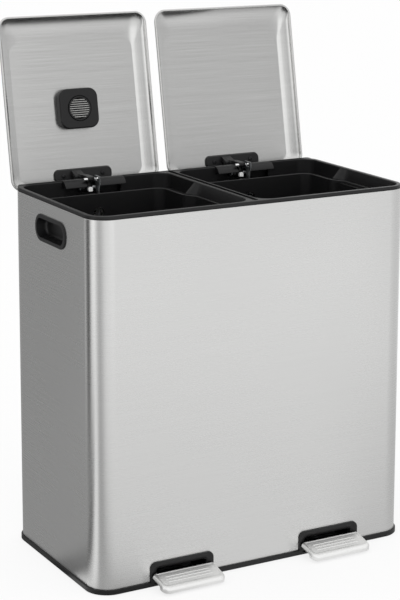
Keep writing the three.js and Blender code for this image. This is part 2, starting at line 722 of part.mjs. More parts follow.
function makeFrame() {
  const bottom = shellTop - FRAME_REACH;
  const skirtInset = SHELL_SHEET + GAP;
  const lipInset = GAP;
  const neckInset = lipInset + SHADOW_GROOVE;
  const edge = LIP_EDGE_RADIUS;
  const block = loft([
    bodyLoop(skirtInset, bottom),
    bodyLoop(skirtInset, shellTop),
    bodyLoop(neckInset, shellTop),
    bodyLoop(neckInset, shellTop + SHADOW_GROOVE),
    bodyLoop(lipInset, shellTop + SHADOW_GROOVE),
    bodyLoop(lipInset, frameTop - edge),
    bodyLoop(lipInset + edge * 0.3, frameTop - edge * 0.3),
    bodyLoop(lipInset + edge, frameTop),
  ]);
  const within = loft([bodyLoop(lipInset, shellTop + SHADOW_GROOVE), bodyLoop(lipInset, frameTop + RIDGE_RADIUS)]);
  const ridge = alongX(ridgeOutline(), -BODY_WIDTH / 2, BODY_WIDTH / 2).intersect(within);
  const behind = box(-BODY_WIDTH, BODY_WIDTH, hingeY, rearFace + 5, shellTop + SHADOW_GROOVE, frameTop + RIDGE_RADIUS);
  const aboveRidge = cut(behind, alongX(ridgeOutline(), -BODY_WIDTH, BODY_WIDTH));
  const divider = {
    x0: -DIVIDER_GROOVE_WIDTH / 2,
    x1: DIVIDER_GROOVE_WIDTH / 2,
    y0: frontFace + LIP_WIDTH,
    y1: rearFace - REAR_LEDGE,
  };
  const groove = loft([
    boxLoop(divider, DIVIDER_GROOVE_WIDTH / 3, frameTop - DIVIDER_GROOVE_DEPTH),
    boxLoop(divider, DIVIDER_GROOVE_WIDTH / 3, frameTop + 5),
  ]);
  const rearReach = BODY_WIDTH / 2 - BODY_CORNER_RADIUS;
  const rearHollow = alongX(rearHollowOutline(bottom), -rearReach, rearReach);
  const housings = [-1, 1].map(makeHingeHousing);
  const open = cut(
    join(cut(block, aboveRidge), ridge),
    ...[-1, 1].map((side) => throat(side, bottom - 1)),
    groove,
    rearHollow,
    ...housings.flatMap((housing) => housing.cuts),
  );
  return cut(join(open, ...housings.flatMap((housing) => housing.ribs)), ...housings.map((housing) => housing.bore));
}

// The frame's rear rail is hollow underneath, with walls as thick as its skirt.
function rearHollowOutline(bottom) {
  const wall = FRAME_SKIRT * 1.4;
  const frontWall = bucketBack + BUCKET_CLEARANCE + wall;
  const skirtInside = rearInside - GAP - FRAME_SKIRT;
  return [
    new THREE.Vector2(frontWall, bottom - 1),
    new THREE.Vector2(skirtInside, bottom - 1),
    new THREE.Vector2(skirtInside, frameTop - wall - 1.5),
    new THREE.Vector2(rearFace - REAR_LEDGE + wall, frameTop - wall - 1.5),
    new THREE.Vector2(frontWall, bucketRim),
  ];
}

// ---- Lids, drawn closed, about the hinge axis: X across from the lid's middle, -Y to the front, Z up ----

function lidLoop(share, inset, z) {
  const edges = {
    x0: -lidWidth / 2 + share * LID_SIDE_CURVE + inset,
    x1: lidWidth / 2 - share * LID_SIDE_CURVE - inset,
    y0: -lidFrontEdge + share * LID_FRONT_CURVE + inset,
    y1: -LID_REAR_LEAD - share * LID_REAR_CURVE - inset,
  };
  return boxLoop(edges, THREE.MathUtils.lerp(LID_CORNER_RADIUS, LID_PANEL_RADIUS, share) - inset, z);
}

// A pan pressed from one sheet: a rolled hem, a curved border that is widest in front, and a flat panel.
function makeLid() {
  const curve = (height, inset, from) => {
    const loops = [];
    for (let i = 0; i <= CURVE_STEPS; i++) {
      const angle = THREE.MathUtils.lerp(from, Math.PI / 2, i / CURVE_STEPS);
      loops.push(lidLoop(1 - Math.cos(angle), inset, lidSeat + height * Math.sin(angle)));
    }
    return loops;
  };
  const inside = curve(LID_DEPTH, LID_SHEET, Math.asin((2 * HEM_RADIUS + 0.4) / LID_DEPTH)).reverse();
  const outside = curve(LID_DEPTH + LID_SHEET, 0, Math.asin((2 * HEM_RADIUS) / LID_DEPTH));
  const hem = [];
  for (let i = 0; i <= CURVE_STEPS; i++) {
    const angle = Math.PI / 2 - (1.5 * Math.PI * i) / CURVE_STEPS;
    hem.push(lidLoop(0, HEM_RADIUS * (1 + Math.cos(angle)), lidSeat + HEM_RADIUS * (1 + Math.sin(angle))));
  }
  return loft([...inside, ...hem, ...outside]);
}

const armLeft = HINGE_GAP_SHIFT + ARM_FROM_GAP_EDGE;
const armRight = armLeft + ARM_WIDTH;
const bracketFace = lidPanel - GAP - BRACKET_THICKNESS;
const bracketRearReach = LID_REAR_LEAD + LID_REAR_CURVE + GAP * 2;
const screwY = -bracketRearReach - BRACKET_LENGTH / 2;

// The hinge bracket: a plate under the lid panel and a gooseneck that goes round the body's rear edge to the pin.
function makeBracket() {
  const edges = {
    x0: BRACKET_SHIFT - BRACKET_WIDTH / 2,
    x1: BRACKET_SHIFT + BRACKET_WIDTH / 2,
    y0: -bracketRearReach - BRACKET_LENGTH,
    y1: -bracketRearReach,
  };
  const foot = { ...edges, x0: edges.x0 - BRACKET_FLARE, x1: edges.x1 + BRACKET_FLARE, y0: edges.y0 - BRACKET_FLARE };
  const plate = loft([
    boxLoop(edges, BRACKET_RADIUS, bracketFace),
    boxLoop(foot, BRACKET_RADIUS + BRACKET_FLARE, lidPanel - GAP),
  ]);
  const hub = { x: 0, y: 0, r: HUB_RADIUS };
  const crank = { x: -crankReach, y: -crankDrop, r: CRANK_PIN_RADIUS + CRANK_BOSS };
  const knee = { x: -RIDGE_RADIUS - 1.4, y: 2, r: ARM_RADIUS };
  const neck = { x: -RIDGE_RADIUS - 3.2, y: lidPanel * 0.55, r: ARM_RADIUS };
  const head = { x: edges.y0 + BRACKET_THICKNESS, y: bracketFace + 1, r: BRACKET_THICKNESS * 0.7 };
  const seat = { x: BUFFER_SHIFT, y: -BUFFER_REACH, r: BUFFER_HEIGHT / 2 };
  const arm = chainAlongX([hub, knee, neck, head], armLeft, armRight);
  const flare = chainAlongX([neck, head], armLeft - ARM_FLARE, armRight);
  const web = join(chainAlongX([hub, crank], armLeft, armRight), chainAlongX([crank, knee], armLeft, armRight));
  const boss = cut(
    chainAlongX([hub, seat], armLeft, armRight),
    box(armLeft - 1, armRight + 1, -BUFFER_HEIGHT, BUFFER_HEIGHT * 2, -2 * BUFFER_REACH, -BUFFER_REACH),
  );
  const screwHoles = [-1, 1].map((end) => pinAlongZ(SCREW_RADIUS + GAP, end * (SCREW_SPREAD / 2), screwY, 0, lidPanel));
  return cut(
    join(plate, arm, flare, web, boss),
    pinAlongX(HINGE_PIN_RADIUS + RUNNING_GAP, armLeft - 1, armRight + 1, 0, 0),
    pinAlongX(CRANK_PIN_RADIUS + GAP / 2, armLeft - 1, armRight + 1, -crankReach, -crankDrop),
    ...screwHoles,
  );
}

function makeBracketScrew(end) {
  const x = (end * SCREW_SPREAD) / 2;
  const under = bracketFace - GAP;
  const head = loft(
    [
      [1.2, -SCREW_HEAD_HEIGHT],
      [0.3, -SCREW_HEAD_HEIGHT * 0.6],
      [0, 0],
    ].map(([inset, z]) => roundLoop(x, screwY, SCREW_HEAD_RADIUS - inset, under + z)),
  );
  return join(head, pinAlongZ(SCREW_RADIUS, x, screwY, under - 1, lidPanel - GAP));
}

function roundLoop(x, y, radius, z, steps = ROUND_STEPS) {
  const loop = [];
  for (let i = 0; i < steps; i++) {
    const angle = (2 * Math.PI * i) / steps;
    loop.push(new THREE.Vector3(x + radius * Math.cos(angle), y + radius * Math.sin(angle), z));
  }
  return loop;
}

// The white stop buffer on the arm's boss: it cushions the lid at both ends of its swing.
function makeBuffer() {
  const middle = (armLeft + armRight) / 2;
  const edges = {
    x0: middle - BUFFER_WIDTH / 2,
    x1: middle + BUFFER_WIDTH / 2,
    y0: BUFFER_SHIFT - BUFFER_HEIGHT / 2,
    y1: BUFFER_SHIFT + BUFFER_HEIGHT / 2,
  };
  const top = -BUFFER_REACH - GAP;
  return loft([
    boxLoop({ ...edges, x0: edges.x0 + 1, x1: edges.x1 - 1, y0: edges.y0 + 1, y1: edges.y1 - 1 }, 1, top - BUFFER_THICKNESS),
    boxLoop(edges, 2, top - BUFFER_THICKNESS + 1),
    boxLoop(edges, 2, top),
  ]);
}

function makeCrankPin() {
  const headLeft = armLeft - GAP - PIN_HEAD_LENGTH;
  const tip = HINGE_GAP_SHIFT + ROD_FROM_GAP_EDGE + ROD_THICKNESS + 1.5;
  return join(
    pinAlongX(CRANK_PIN_RADIUS, headLeft + 0.5, tip, -crankReach, -crankDrop),
    pinAlongX(PIN_HEAD_RADIUS, headLeft, armLeft - GAP, -crankReach, -crankDrop),
  );
}

// ---- Air freshener ----

const freshenerBack = lidPanel - GAP;
const freshenerFace = freshenerBack - FRESHENER_THICKNESS;
const capBack = freshenerFace + CAP_THICKNESS - 0.6;
const puckBack = capBack + GAP + PUCK_THICKNESS;

function makeFreshenerCase() {
  const rim = (inset, z) => {
    const half = { x: FRESHENER_WIDTH / 2 - inset, y: FRESHENER_LENGTH / 2 - inset };
    const y = -FRESHENER_FROM_HINGE;
    return boxLoop({ x0: -half.x, x1: half.x, y0: y - half.y, y1: y + half.y }, FRESHENER_RADIUS - inset, z);
  };
  const body = loft([
    rim(3.2, freshenerFace),
    rim(1.2, freshenerFace + 0.8),
    rim(0.3, freshenerFace + 2.4),
    rim(0, freshenerFace + 4.5),
    rim(0, freshenerBack),
  ]);
  return cut(
    body,
    pinAlongZ(CAP_RADIUS + RUNNING_GAP, 0, -FRESHENER_FROM_HINGE, freshenerFace - 5, capBack + GAP, CAP_STEPS),
    pinAlongZ(PUCK_RADIUS + GAP, 0, -FRESHENER_FROM_HINGE, freshenerFace - 5, puckBack + GAP, CAP_STEPS),
  );
}

// A round cap with level slots. It turns to lock, and comes off to change the charcoal.
function makeFreshenerCap() {
  const y = -FRESHENER_FROM_HINGE;
  const disc = pinAlongZ(CAP_RADIUS, 0, y, capBack - CAP_THICKNESS, capBack, CAP_STEPS);
  const open = pinAlongZ(CAP_RADIUS - 3, 0, y, freshenerFace - 5, capBack + 5, CAP_STEPS);
  const pitch = (2 * (CAP_RADIUS - 3)) / CAP_SLATS;
  const slots = [];
  for (let i = 0; i < CAP_SLATS; i++) {
    const at = y + (i - (CAP_SLATS - 1) / 2) * pitch;
    const slot = box(-CAP_RADIUS, CAP_RADIUS, at - CAP_SLOT / 2, at + CAP_SLOT / 2, freshenerFace - 6, capBack + 6);
    slots.push(slot.intersect(open));
  }
  return cut(disc, ...slots);
}

const makePuck = () => pinAlongZ(PUCK_RADIUS, 0, -FRESHENER_FROM_HINGE, capBack + GAP, puckBack, CAP_STEPS);

// ---- Pedals, drawn pressed down, as they are while the lids stand open ----

const linkY = rodY;
const linkZ = LEVER_REAR_HEIGHT;
const slotY = frontFace - 2;
const tongueRoot = pivotY - AXLE_RADIUS * 6;
const tongueRootHeight = PEDAL_TOP - TONGUE_DROP + TONGUE_THICKNESS / 2;

function makeLever(side) {
  const x0 = leverX(side) - LEVER_WIDTH / 2;
  const x1 = leverX(side) + LEVER_WIDTH / 2;
  const pivot = { x: pivotY, y: PEDAL_PIVOT_HEIGHT, r: AXLE_RADIUS * 3 };
  const link = { x: linkY, y: linkZ, r: LINK_PIN_RADIUS * 2.4 };
  const tongueRadius = TONGUE_THICKNESS / 2;
  const mouth = { x: slotY, y: PEDAL_TOP - TONGUE_DROP, r: tongueRadius };
  const nose = { x: tongueNose, y: tongueNoseHeight, r: tongueRadius };
  const root = { x: tongueRoot, y: tongueRootHeight, r: tongueRadius };
  const shoulder = { x: root.x - 8, y: root.y + 2, r: 4.5 };
  const cheeks = [
    [x0, x0 + LEVER_SHEET],
    [x1 - LEVER_SHEET, x1],
  ].map(([from, to]) => chainAlongX([shoulder, pivot, link], from, to));
  const slope = (linkZ - PEDAL_PIVOT_HEIGHT) / (linkY - pivotY);
  const webFrom = { x: pivotY + AXLE_RADIUS * 3, r: LEVER_SHEET / 2 };
  const webTo = { x: rodFront - 6, r: LEVER_SHEET / 2 };
  for (const end of [webFrom, webTo]) end.y = PEDAL_PIVOT_HEIGHT + (end.x - pivotY) * slope;
  const tongue = chainAlongX([root, mouth, nose], pedalX(side) - TONGUE_WIDTH / 2, pedalX(side) + TONGUE_WIDTH / 2);
  return cut(
    join(tongue, ...cheeks, chainAlongX([webFrom, webTo], x0, x1)),
    pinAlongX(AXLE_RADIUS + RUNNING_GAP, x0 - 1, x1 + 1, pivotY, PEDAL_PIVOT_HEIGHT),
    pinAlongX(LINK_PIN_RADIUS + GAP / 2, x0 - 1, x1 + 1, linkY, linkZ),
  );
}

const pedalTilt = THREE.MathUtils.degToRad(PEDAL_TILT_DEGREES);
const pedalRearY = collarFront - PEDAL_STANDOFF / 2;
const tongueNose = pedalRearY - PEDAL_LENGTH * 0.7;
const tongueNoseHeight = PEDAL_TOP - Math.tan(pedalTilt) * PEDAL_LENGTH * 0.7 - TONGUE_THICKNESS / 2 - PEDAL_SHEET - 2.6;

// Outline of the pedal at one height. Its own frame has the rear top edge as origin and slopes down to the front.
function pedalLoop(inset, frontInset, rearInset, z) {
  const edges = {
    x0: -PEDAL_WIDTH / 2 + inset,
    x1: PEDAL_WIDTH / 2 - inset,
    y0: -PEDAL_LENGTH + frontInset,
    y1: -rearInset,
  };
  const r = PEDAL_CORNER_RADIUS - inset;
  const corners = [
    { x: edges.x0, y: edges.y0, r },
    { x: edges.x1, y: edges.y0, r },
    { x: edges.x1, y: edges.y1, r: r / 3 },
    { x: edges.x0, y: edges.y1, r: r / 3 },
  ];
  return filletedLoop(corners, z);
}

function pedalHollow(clearance) {
  const wall = PEDAL_SHEET + clearance;
  const bottom = clearance > 0 ? -PEDAL_THICKNESS + clearance : -PEDAL_THICKNESS - 1;
  return loft([
    pedalLoop(wall, wall, clearance - 1, bottom),
    pedalLoop(wall, wall, clearance - 1, -PEDAL_THICKNESS * 0.6),
    pedalLoop(wall + 1, wall + 2.4, clearance - 1, -PEDAL_THICKNESS * 0.4),
    pedalLoop(wall + 3, wall + 6, clearance - 1, -PEDAL_SHEET - 1 - clearance),
  ]);
}

// What is taken off the underside, in the pedal's own (y, z): the front keeps its full roll.
function undersideCut(rearHeight, frontHeight) {
  const front = PEDAL_ROLL - PEDAL_LENGTH;
  const low = -3 * PEDAL_THICKNESS;
  const outline = [
    new THREE.Vector2(front, low),
    new THREE.Vector2(PEDAL_ROLL, low),
    new THREE.Vector2(PEDAL_ROLL, -rearHeight),
    new THREE.Vector2(front + PEDAL_ROLL, -frontHeight),
  ];
  return alongX(outline, -PEDAL_WIDTH, PEDAL_WIDTH);
}

// The pressed metal cover: rounded over in front, with a shallow dished tread and long ribs.
function makePedalPad() {
  const outside = loft([
    pedalLoop(0, 0, 0, -PEDAL_THICKNESS),
    pedalLoop(0, 0.8, 0, -PEDAL_THICKNESS * 0.6),
    pedalLoop(0.8, 2.6, 0, -PEDAL_THICKNESS * 0.35),
    pedalLoop(2, 5.4, 0.2, -PEDAL_THICKNESS * 0.1),
    pedalLoop(3, 8, 0.8, 0),
    pedalLoop(5, 10, 2, 0),
    pedalLoop(7, 12.5, 3.6, -0.9),
  ]);
  const ribs = [];
  for (let i = 0; i < PEDAL_RIBS; i++) {
    const y = -PEDAL_LENGTH * (0.25 + 0.17 * i);
    const rib = linkOutline({ x: -PEDAL_WIDTH * 0.34, y }, { x: PEDAL_WIDTH * 0.34, y }, 1.2, 1.2, 2);
    const loops = [-1.4, -0.2].map((z) => rib.map((p) => new THREE.Vector3(p.x, p.y, z)));
    ribs.push(loft(loops));
  }
  return join(cut(outside, pedalHollow(0), undersideCut(PEDAL_SKIRT, PEDAL_SKIRT)), ...ribs);
}

// The plastic block inside the cover, moulded round the lever's tongue, with a wide neck that fills the collar's slot.
function makePedalCarrier(side) {
  const x = pedalX(side);
  const matrix = new THREE.Matrix4().makeRotationX(pedalTilt);
  matrix.setPosition(x, pedalRearY, PEDAL_TOP);
  const block = cut(pedalHollow(GAP), undersideCut(PEDAL_THICKNESS, PEDAL_SKIRT)).transform(matrix.elements);
  const neck = box(x - NECK_WIDTH / 2, x + NECK_WIDTH / 2, pedalRearY - 4, frontFace + NECK_REAR, NECK_BOTTOM, NECK_TOP);
  const room = TONGUE_THICKNESS / 2 + GAP;
  const root = { x: tongueRoot, y: tongueRootHeight, r: room };
  const mouth = { x: slotY, y: PEDAL_TOP - TONGUE_DROP, r: room };
  const nose = { x: tongueNose, y: tongueNoseHeight, r: room };
  const tongue = chainAlongX([root, mouth, nose], x - TONGUE_WIDTH / 2 - GAP, x + TONGUE_WIDTH / 2 + GAP);
  return cut(join(block, neck), tongue);
}

function makeAxle(side) {
  const half = LEVER_WIDTH / 2 + RUNNING_GAP * 2 + AXLE_RIB + 1;
  return pinAlongX(AXLE_RADIUS, leverX(side) - half, leverX(side) + half, pivotY, PEDAL_PIVOT_HEIGHT);
}

function makeLinkPin(side) {
  const half = LEVER_WIDTH / 2 + 1;
  return pinAlongX(LINK_PIN_RADIUS, leverX(side) - half, leverX(side) + half, linkY, linkZ);
}

// ---- Push rods, dampers ----

function makePushRod(side) {
  const x0 = rodX(side) - ROD_THICKNESS / 2;
  const x1 = rodX(side) + ROD_THICKNESS / 2;
  const slotZ = hingeZ + crankDrop;
  const headTop = slotZ + rodSlotRadius + ROD_EDGE;
  const headBottom = slotZ - rodSlotRadius - ROD_EDGE * 3;
  const footReach = LINK_PIN_RADIUS + ROD_EDGE * 1.5;
  const strip = box(x0, x1, rodY - ROD_WIDTH / 2, rodY + ROD_WIDTH / 2, linkZ, slotZ);
  const head = box(x0, x1, rodFront, rodRear, headBottom, headTop);
  const foot = alongX(linkOutline({ x: linkY - 1, y: linkZ }, { x: linkY + 2, y: linkZ }, footReach, footReach), x0, x1);
  const slot = linkOutline(
    { x: hingeY - CRANK_RADIUS, y: slotZ },
    { x: hingeY - crankReach, y: slotZ },
    rodSlotRadius,
    rodSlotRadius,
    LINK_STEPS * 2,
  );
  const linkRoom = LINK_PIN_RADIUS + RUNNING_GAP;
  const linkSlot = linkOutline({ x: linkY - 0.4, y: linkZ }, { x: linkY + 1.4, y: linkZ }, linkRoom, linkRoom);
  return cut(join(strip, head, foot), alongX(slot, x0 - 1, x1 + 1), alongX(linkSlot, x0 - 1, x1 + 1));
}

function makeRodGuide(side) {
  const x = rodX(side);
  const room = RUNNING_GAP * 2;
  const top = guideBottom + GUIDE_THICKNESS;
  return cut(
    box(x - GUIDE_WIDTH / 2, x + GUIDE_WIDTH / 2, rodFront, rearInside - GAP, guideBottom, top),
    box(
      x - ROD_THICKNESS / 2 - room,
      x + ROD_THICKNESS / 2 + room,
      rodY - ROD_WIDTH / 2 - room,
      rodY + ROD_WIDTH / 2 + room,
      guideBottom - 1,
      top + 1,
    ),
  );
}

const damperX = (side) => rodX(side) + DAMPER_SPACING;
const damperTop = damperBottom + DAMPER_LENGTH;

function makeDamper(side) {
  const x = damperX(side);
  const foot = box(
    x - DAMPER_RADIUS,
    x + DAMPER_RADIUS,
    rodY,
    rearInside - GAP,
    damperBottom + DAMPER_LENGTH * 0.3,
    damperBottom + DAMPER_LENGTH * 0.6,
  );
  return cut(
    join(pinAlongZ(DAMPER_RADIUS, x, rodY, damperBottom, damperTop), foot),
    pinAlongZ(DAMPER_ROD_RADIUS + RUNNING_GAP, x, rodY, damperBottom + DAMPER_WALL * 2, damperTop + 1),
  );
}

function makeDamperRod(side) {
  const insideReach = 2 * crankDrop + 5;
  const bottom = damperBottom + DAMPER_WALL * 2 + insideReach;
  return pinAlongZ(DAMPER_ROD_RADIUS, damperX(side), rodY, bottom, damperTop + DAMPER_ROD_REACH);
}

// The clip that ties the damper's rod to the push rod.
function makeDamperClip(side) {
  const bottom = damperTop + DAMPER_ROD_REACH - CLIP_HEIGHT;
  const x = rodX(side);
  const clip = box(
    x - ROD_THICKNESS / 2 - ROD_EDGE * 2,
    damperX(side) + DAMPER_ROD_RADIUS + ROD_EDGE,
    rodY - ROD_WIDTH / 2 - ROD_EDGE,
    rodY + ROD_WIDTH / 2 + ROD_EDGE,
    bottom,
    bottom + CLIP_HEIGHT,
  );
  return cut(
    clip,
    box(
      x - ROD_THICKNESS / 2 - GAP,
      x + ROD_THICKNESS / 2 + GAP,
      rodY - ROD_WIDTH / 2 - GAP,
      rodY + ROD_WIDTH / 2 + GAP,
      bottom - 1,
      bottom + CLIP_HEIGHT + 1,
    ),
    pinAlongZ(DAMPER_ROD_RADIUS + GAP, damperX(side), rodY, bottom - 1, bottom + CLIP_HEIGHT + 1),
  );
}

function makeHingePin(side) {
  const gap = hingeGap(side);
  const left = gap.left - HINGE_RIB - 1.5;
  return join(
    pinAlongX(HINGE_PIN_RADIUS, left, gap.right + HINGE_RIB + 1.5, hingeY, hingeZ),
    pinAlongX(HINGE_PIN_RADIUS + 1.5, left - 1.5, gap.left - HINGE_RIB - GAP, hingeY, hingeZ),
  );
}

function makeFootPad([x, y]) {
  return pinAlongZ(FOOT_PAD_RADIUS, x, y, 0, FOOT_PAD_THICKNESS);
}

// ---- Assembly ----

function add(group, name, solid, material) {
  const mesh = new THREE.Mesh(geometryOf(solid), material);
  mesh.name = name;
  group.add(mesh);
}

const bin = new THREE.Group();
add(bin, "outer_shell", makeShell(), materials.brushedSteel);
add(bin, "top_frame", makeFrame(), materials.blackPlastic);
add(bin, "base", makeBase(), materials.blackPlastic);
add(bin, "bucket_deck", makeDeck(), materials.blackPlastic);
["front_left", "front_right", "rear_right", "rear_left"].forEach((place, i) => {
  add(bin, `foot_pad_${place}`, makeFootPad(footPlaces()[i]), materials.footRubber);
});

for (const [side, word] of [
  [-1, "left"],
  [1, "right"],
]) {
  add(bin, `handle_cup_${word}`, makeHandleCup(side), materials.blackPlastic);
  add(bin, `bucket_${word}`, makeBucket(side), materials.bucketPlastic);
  add(bin, `hinge_pin_${word}`, makeHingePin(side), materials.zincSteel);
  add(bin, `push_rod_${word}`, makePushRod(side), materials.zincSteel);
  add(bin, `rod_guide_${word}`, makeRodGuide(side), materials.blackPlastic);
  add(bin, `damper_${word}`, makeDamper(side), materials.zincSteel);
  add(bin, `damper_rod_${word}`, makeDamperRod(side), materials.brightPin);
  add(bin, `damper_clip_${word}`, makeDamperClip(side), materials.blackPlastic);
  add(bin, `pedal_lever_${word}`, makeLever(side), materials.zincSteel);
  add(bin, `pedal_axle_${word}`, makeAxle(side), materials.zincSteel);
  add(bin, `link_pin_${word}`, makeLinkPin(side), materials.zincSteel);
  add(bin, `pedal_carrier_${word}`, makePedalCarrier(side), materials.blackPlastic);

  const pedal = new THREE.Group();
  pedal.position.set(pedalX(side), pedalRearY, PEDAL_TOP);
  pedal.rotation.x = pedalTilt;
  add(pedal, `pedal_pad_${word}`, makePedalPad(), materials.satinSteel);
  bin.add(pedal);

  const lid = new THREE.Group();
  lid.position.set(side * lidMiddle, hingeY, hingeZ);
  lid.rotation.x = -THREE.MathUtils.degToRad(LID_OPEN_DEGREES);
  add(lid, `lid_${word}`, makeLid(), materials.brushedSteel);
  add(lid, `hinge_bracket_${word}`, makeBracket(), materials.blackPlastic);
  add(lid, `crank_pin_${word}`, makeCrankPin(), materials.brightPin);
  add(lid, `stop_buffer_${word}`, makeBuffer(), materials.whiteNylon);
  [-1, 1].forEach((end, i) => {
    add(lid, `bracket_screw_${word}_${i + 1}`, makeBracketScrew(end), materials.zincSteel);
  });
  if (side < 0) {
    add(lid, "freshener_case", makeFreshenerCase(), materials.blackPlastic);
    add(lid, "freshener_cap", makeFreshenerCap(), materials.blackPlastic);
    add(lid, "charcoal_puck", makePuck(), materials.charcoal);
  }
  bin.add(lid);
}

export default bin;
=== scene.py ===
import math

import bmesh
import bpy
import numpy as np
from mathutils import Matrix, Vector


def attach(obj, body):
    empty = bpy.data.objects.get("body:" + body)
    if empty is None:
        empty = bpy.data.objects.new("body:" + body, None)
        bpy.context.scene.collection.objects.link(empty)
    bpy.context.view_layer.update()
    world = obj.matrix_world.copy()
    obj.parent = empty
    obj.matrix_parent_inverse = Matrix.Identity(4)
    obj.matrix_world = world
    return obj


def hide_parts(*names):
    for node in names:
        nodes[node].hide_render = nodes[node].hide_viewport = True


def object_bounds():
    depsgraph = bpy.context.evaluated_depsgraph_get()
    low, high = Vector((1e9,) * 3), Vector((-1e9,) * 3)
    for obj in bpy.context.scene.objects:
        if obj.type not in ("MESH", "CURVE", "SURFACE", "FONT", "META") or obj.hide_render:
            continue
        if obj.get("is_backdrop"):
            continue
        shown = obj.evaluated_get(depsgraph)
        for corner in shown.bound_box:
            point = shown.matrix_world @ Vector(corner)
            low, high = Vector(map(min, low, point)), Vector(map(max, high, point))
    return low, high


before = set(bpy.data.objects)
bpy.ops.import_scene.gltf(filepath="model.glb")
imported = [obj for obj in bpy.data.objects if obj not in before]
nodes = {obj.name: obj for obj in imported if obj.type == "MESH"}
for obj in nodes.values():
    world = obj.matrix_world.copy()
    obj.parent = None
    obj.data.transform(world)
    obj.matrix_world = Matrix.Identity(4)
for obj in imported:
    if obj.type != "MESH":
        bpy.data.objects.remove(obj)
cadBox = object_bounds()
print("frame loaded:", len(nodes), "nodes")

# A two-compartment step-on recycling bin, standing open. Sizes here are in millimetres, as a maker would
# give them.
# The floor is at z 0, the front faces -Y, and left is -X.

# ---------------------------------------------------------------- outlines


def filletLoop(corners, steps, hold=0.0):
    # Closed outline round the corners (x, y, r). Each corner is the rational quadratic arc from S to E round
    # C,
    # ((1-t)^2 S + 2wt(1-t) C + t^2 E) / ((1-t)^2 + 2wt(1-t) + t^2), with w the cosine of half the turn.
    # One more point lies `hold` outside each end of an arc, which keeps the straight sides flat in the
    # shading.
    data = np.array(corners, float)
    here, radius = data[:, :2], data[:, 2:3]
    back = np.roll(here, 1, 0) - here
    ahead = np.roll(here, -1, 0) - here
    back /= np.linalg.norm(back, axis=1, keepdims=True)
    ahead /= np.linalg.norm(ahead, axis=1, keepdims=True)
    turn = np.pi - np.arccos(np.clip((back * ahead).sum(1), -1, 1))
    w = np.cos(turn / 2)[:, None, None]
    t = np.linspace(0, 1, steps + 1)[None, :, None]
    start, end = here + back * radius, here + ahead * radius
    a, b, c = (1 - t) ** 2, 2 * w * t * (1 - t), t**2
    arc = (a * start[:, None] + b * here[:, None] + c * end[:, None]) / (a + b + c)
    if hold:
        arc = np.concatenate([(start + back * hold)[:, None], arc, (end + ahead * hold)[:, None]], 1)
    return arc.reshape(-1, 2)


def rectLoop(x0, x1, y0, y1, r, steps=10, hold=0.0):
    r = max(r, 0.05)
    return filletLoop([(x0, y0, r), (x1, y0, r), (x1, y1, r), (x0, y1, r)], steps, hold)


def roundLoop(x, y, r, steps=48):
    # Circle: centre plus r (cos a, sin a).
    a = np.arange(steps) * 2 * np.pi / steps
    return np.stack([x + r * np.cos(a), y + r * np.sin(a)], 1)


def linkLoop(a, b, ra, rb, steps=12):
    # Outline round two circles: an arc about a, then an arc about b, joined by their outer tangents.
    a, b = np.array(a, float), np.array(b, float)
    span = np.linalg.norm(b - a)
    heading = math.atan2(*(b - a)[::-1])
    lean = math.acos(max(-1, min(1, (ra - rb) / span)))
    first = np.linspace(heading + lean, heading + 2 * math.pi - lean, steps + 1)
    second = np.linspace(heading - lean, heading + lean, steps + 1)
    around = lambda p, r, t: p + r * np.stack([np.cos(t), np.sin(t)], 1)
    return np.concatenate([around(a, ra, first), around(b, rb, second)])


def level(loop, z):
    # A flat outline (x, y) laid at height z.
    return np.column_stack([loop, np.full(len(loop), float(z))])


def quarter(count):
    # Angles of a rounded edge, from 0 to a right angle.
    return np.linspace(0, np.pi / 2, count)


# ---------------------------------------------------------------- pieces


def gridPiece(name, rows, ring=False, uv=None):
    # Skin over rows of equally many points, each row closed. With ring, the last row joins the first,
    # and otherwise both ends are closed by one flat face. u is the length round a row and v along a column,
    # in metres.
    rows = np.asarray(rows, float)
    n, m = rows.shape[:2]
    i = np.arange(n if ring else n - 1)[:, None]
    j = np.arange(m)[None, :]
    i2, j2 = (i + 1) % n, (j + 1) % m
    quads = np.stack([i * m + j, i * m + j2, i2 * m + j2, i2 * m + j], -1).reshape(-1, 4)
    faces = quads.tolist()
    if uv is None:
        around = np.linalg.norm(np.roll(rows, -1, 1) - rows, axis=2).mean(0)
        u = np.concatenate([[0], np.cumsum(around)]) / 1000
        closed = np.concatenate([rows, rows[:1]])
        v = np.concatenate([[0], np.cumsum(np.linalg.norm(np.diff(closed, axis=0), axis=2).mean(1))]) / 1000
        corner = lambda a, b: np.stack(np.broadcast_arrays(u[b], v[a]), -1)
        uvs = np.stack([corner(i, j), corner(i, j + 1), corner(i + 1, j + 1), corner(i + 1, j)],
                       2).reshape(-1, 2)
    else:
        at = lambda a, b: uv[a, b]
        uvs = np.stack([at(i, j), at(i, j2), at(i2, j2), at(i2, j)], 2).reshape(-1, 2)
    if not ring:
        faces += [list(range(m))[::-1], list(range((n - 1) * m, n * m))]
        ends = np.concatenate([rows[0][::-1, :2], rows[-1][:, :2]]) / 1000
        uvs = np.concatenate([uvs, ends])
    return newPiece(name, rows.reshape(-1, 3), faces, uvs)


def newPiece(name, points, faces, uvs=None):
    mesh = bpy.data.meshes.new(name)
    mesh.from_pydata((np.asarray(points) / 1000).tolist(), [], faces)
    if uvs is not None:
        layer = mesh.uv_layers.new(name="grain")
        layer.data.foreach_set("uv", np.ascontiguousarray(uvs, np.float32).ravel())
    solid = bmesh.new()
    solid.from_mesh(mesh)
    if solid.calc_volume(signed=True) < 0:
        bmesh.ops.reverse_faces(solid, faces=solid.faces[:])
    solid.to_mesh(mesh)
    solid.free()
    piece = bpy.data.objects.new(name, mesh)
    bpy.context.scene.collection.objects.link(piece)
    return piece


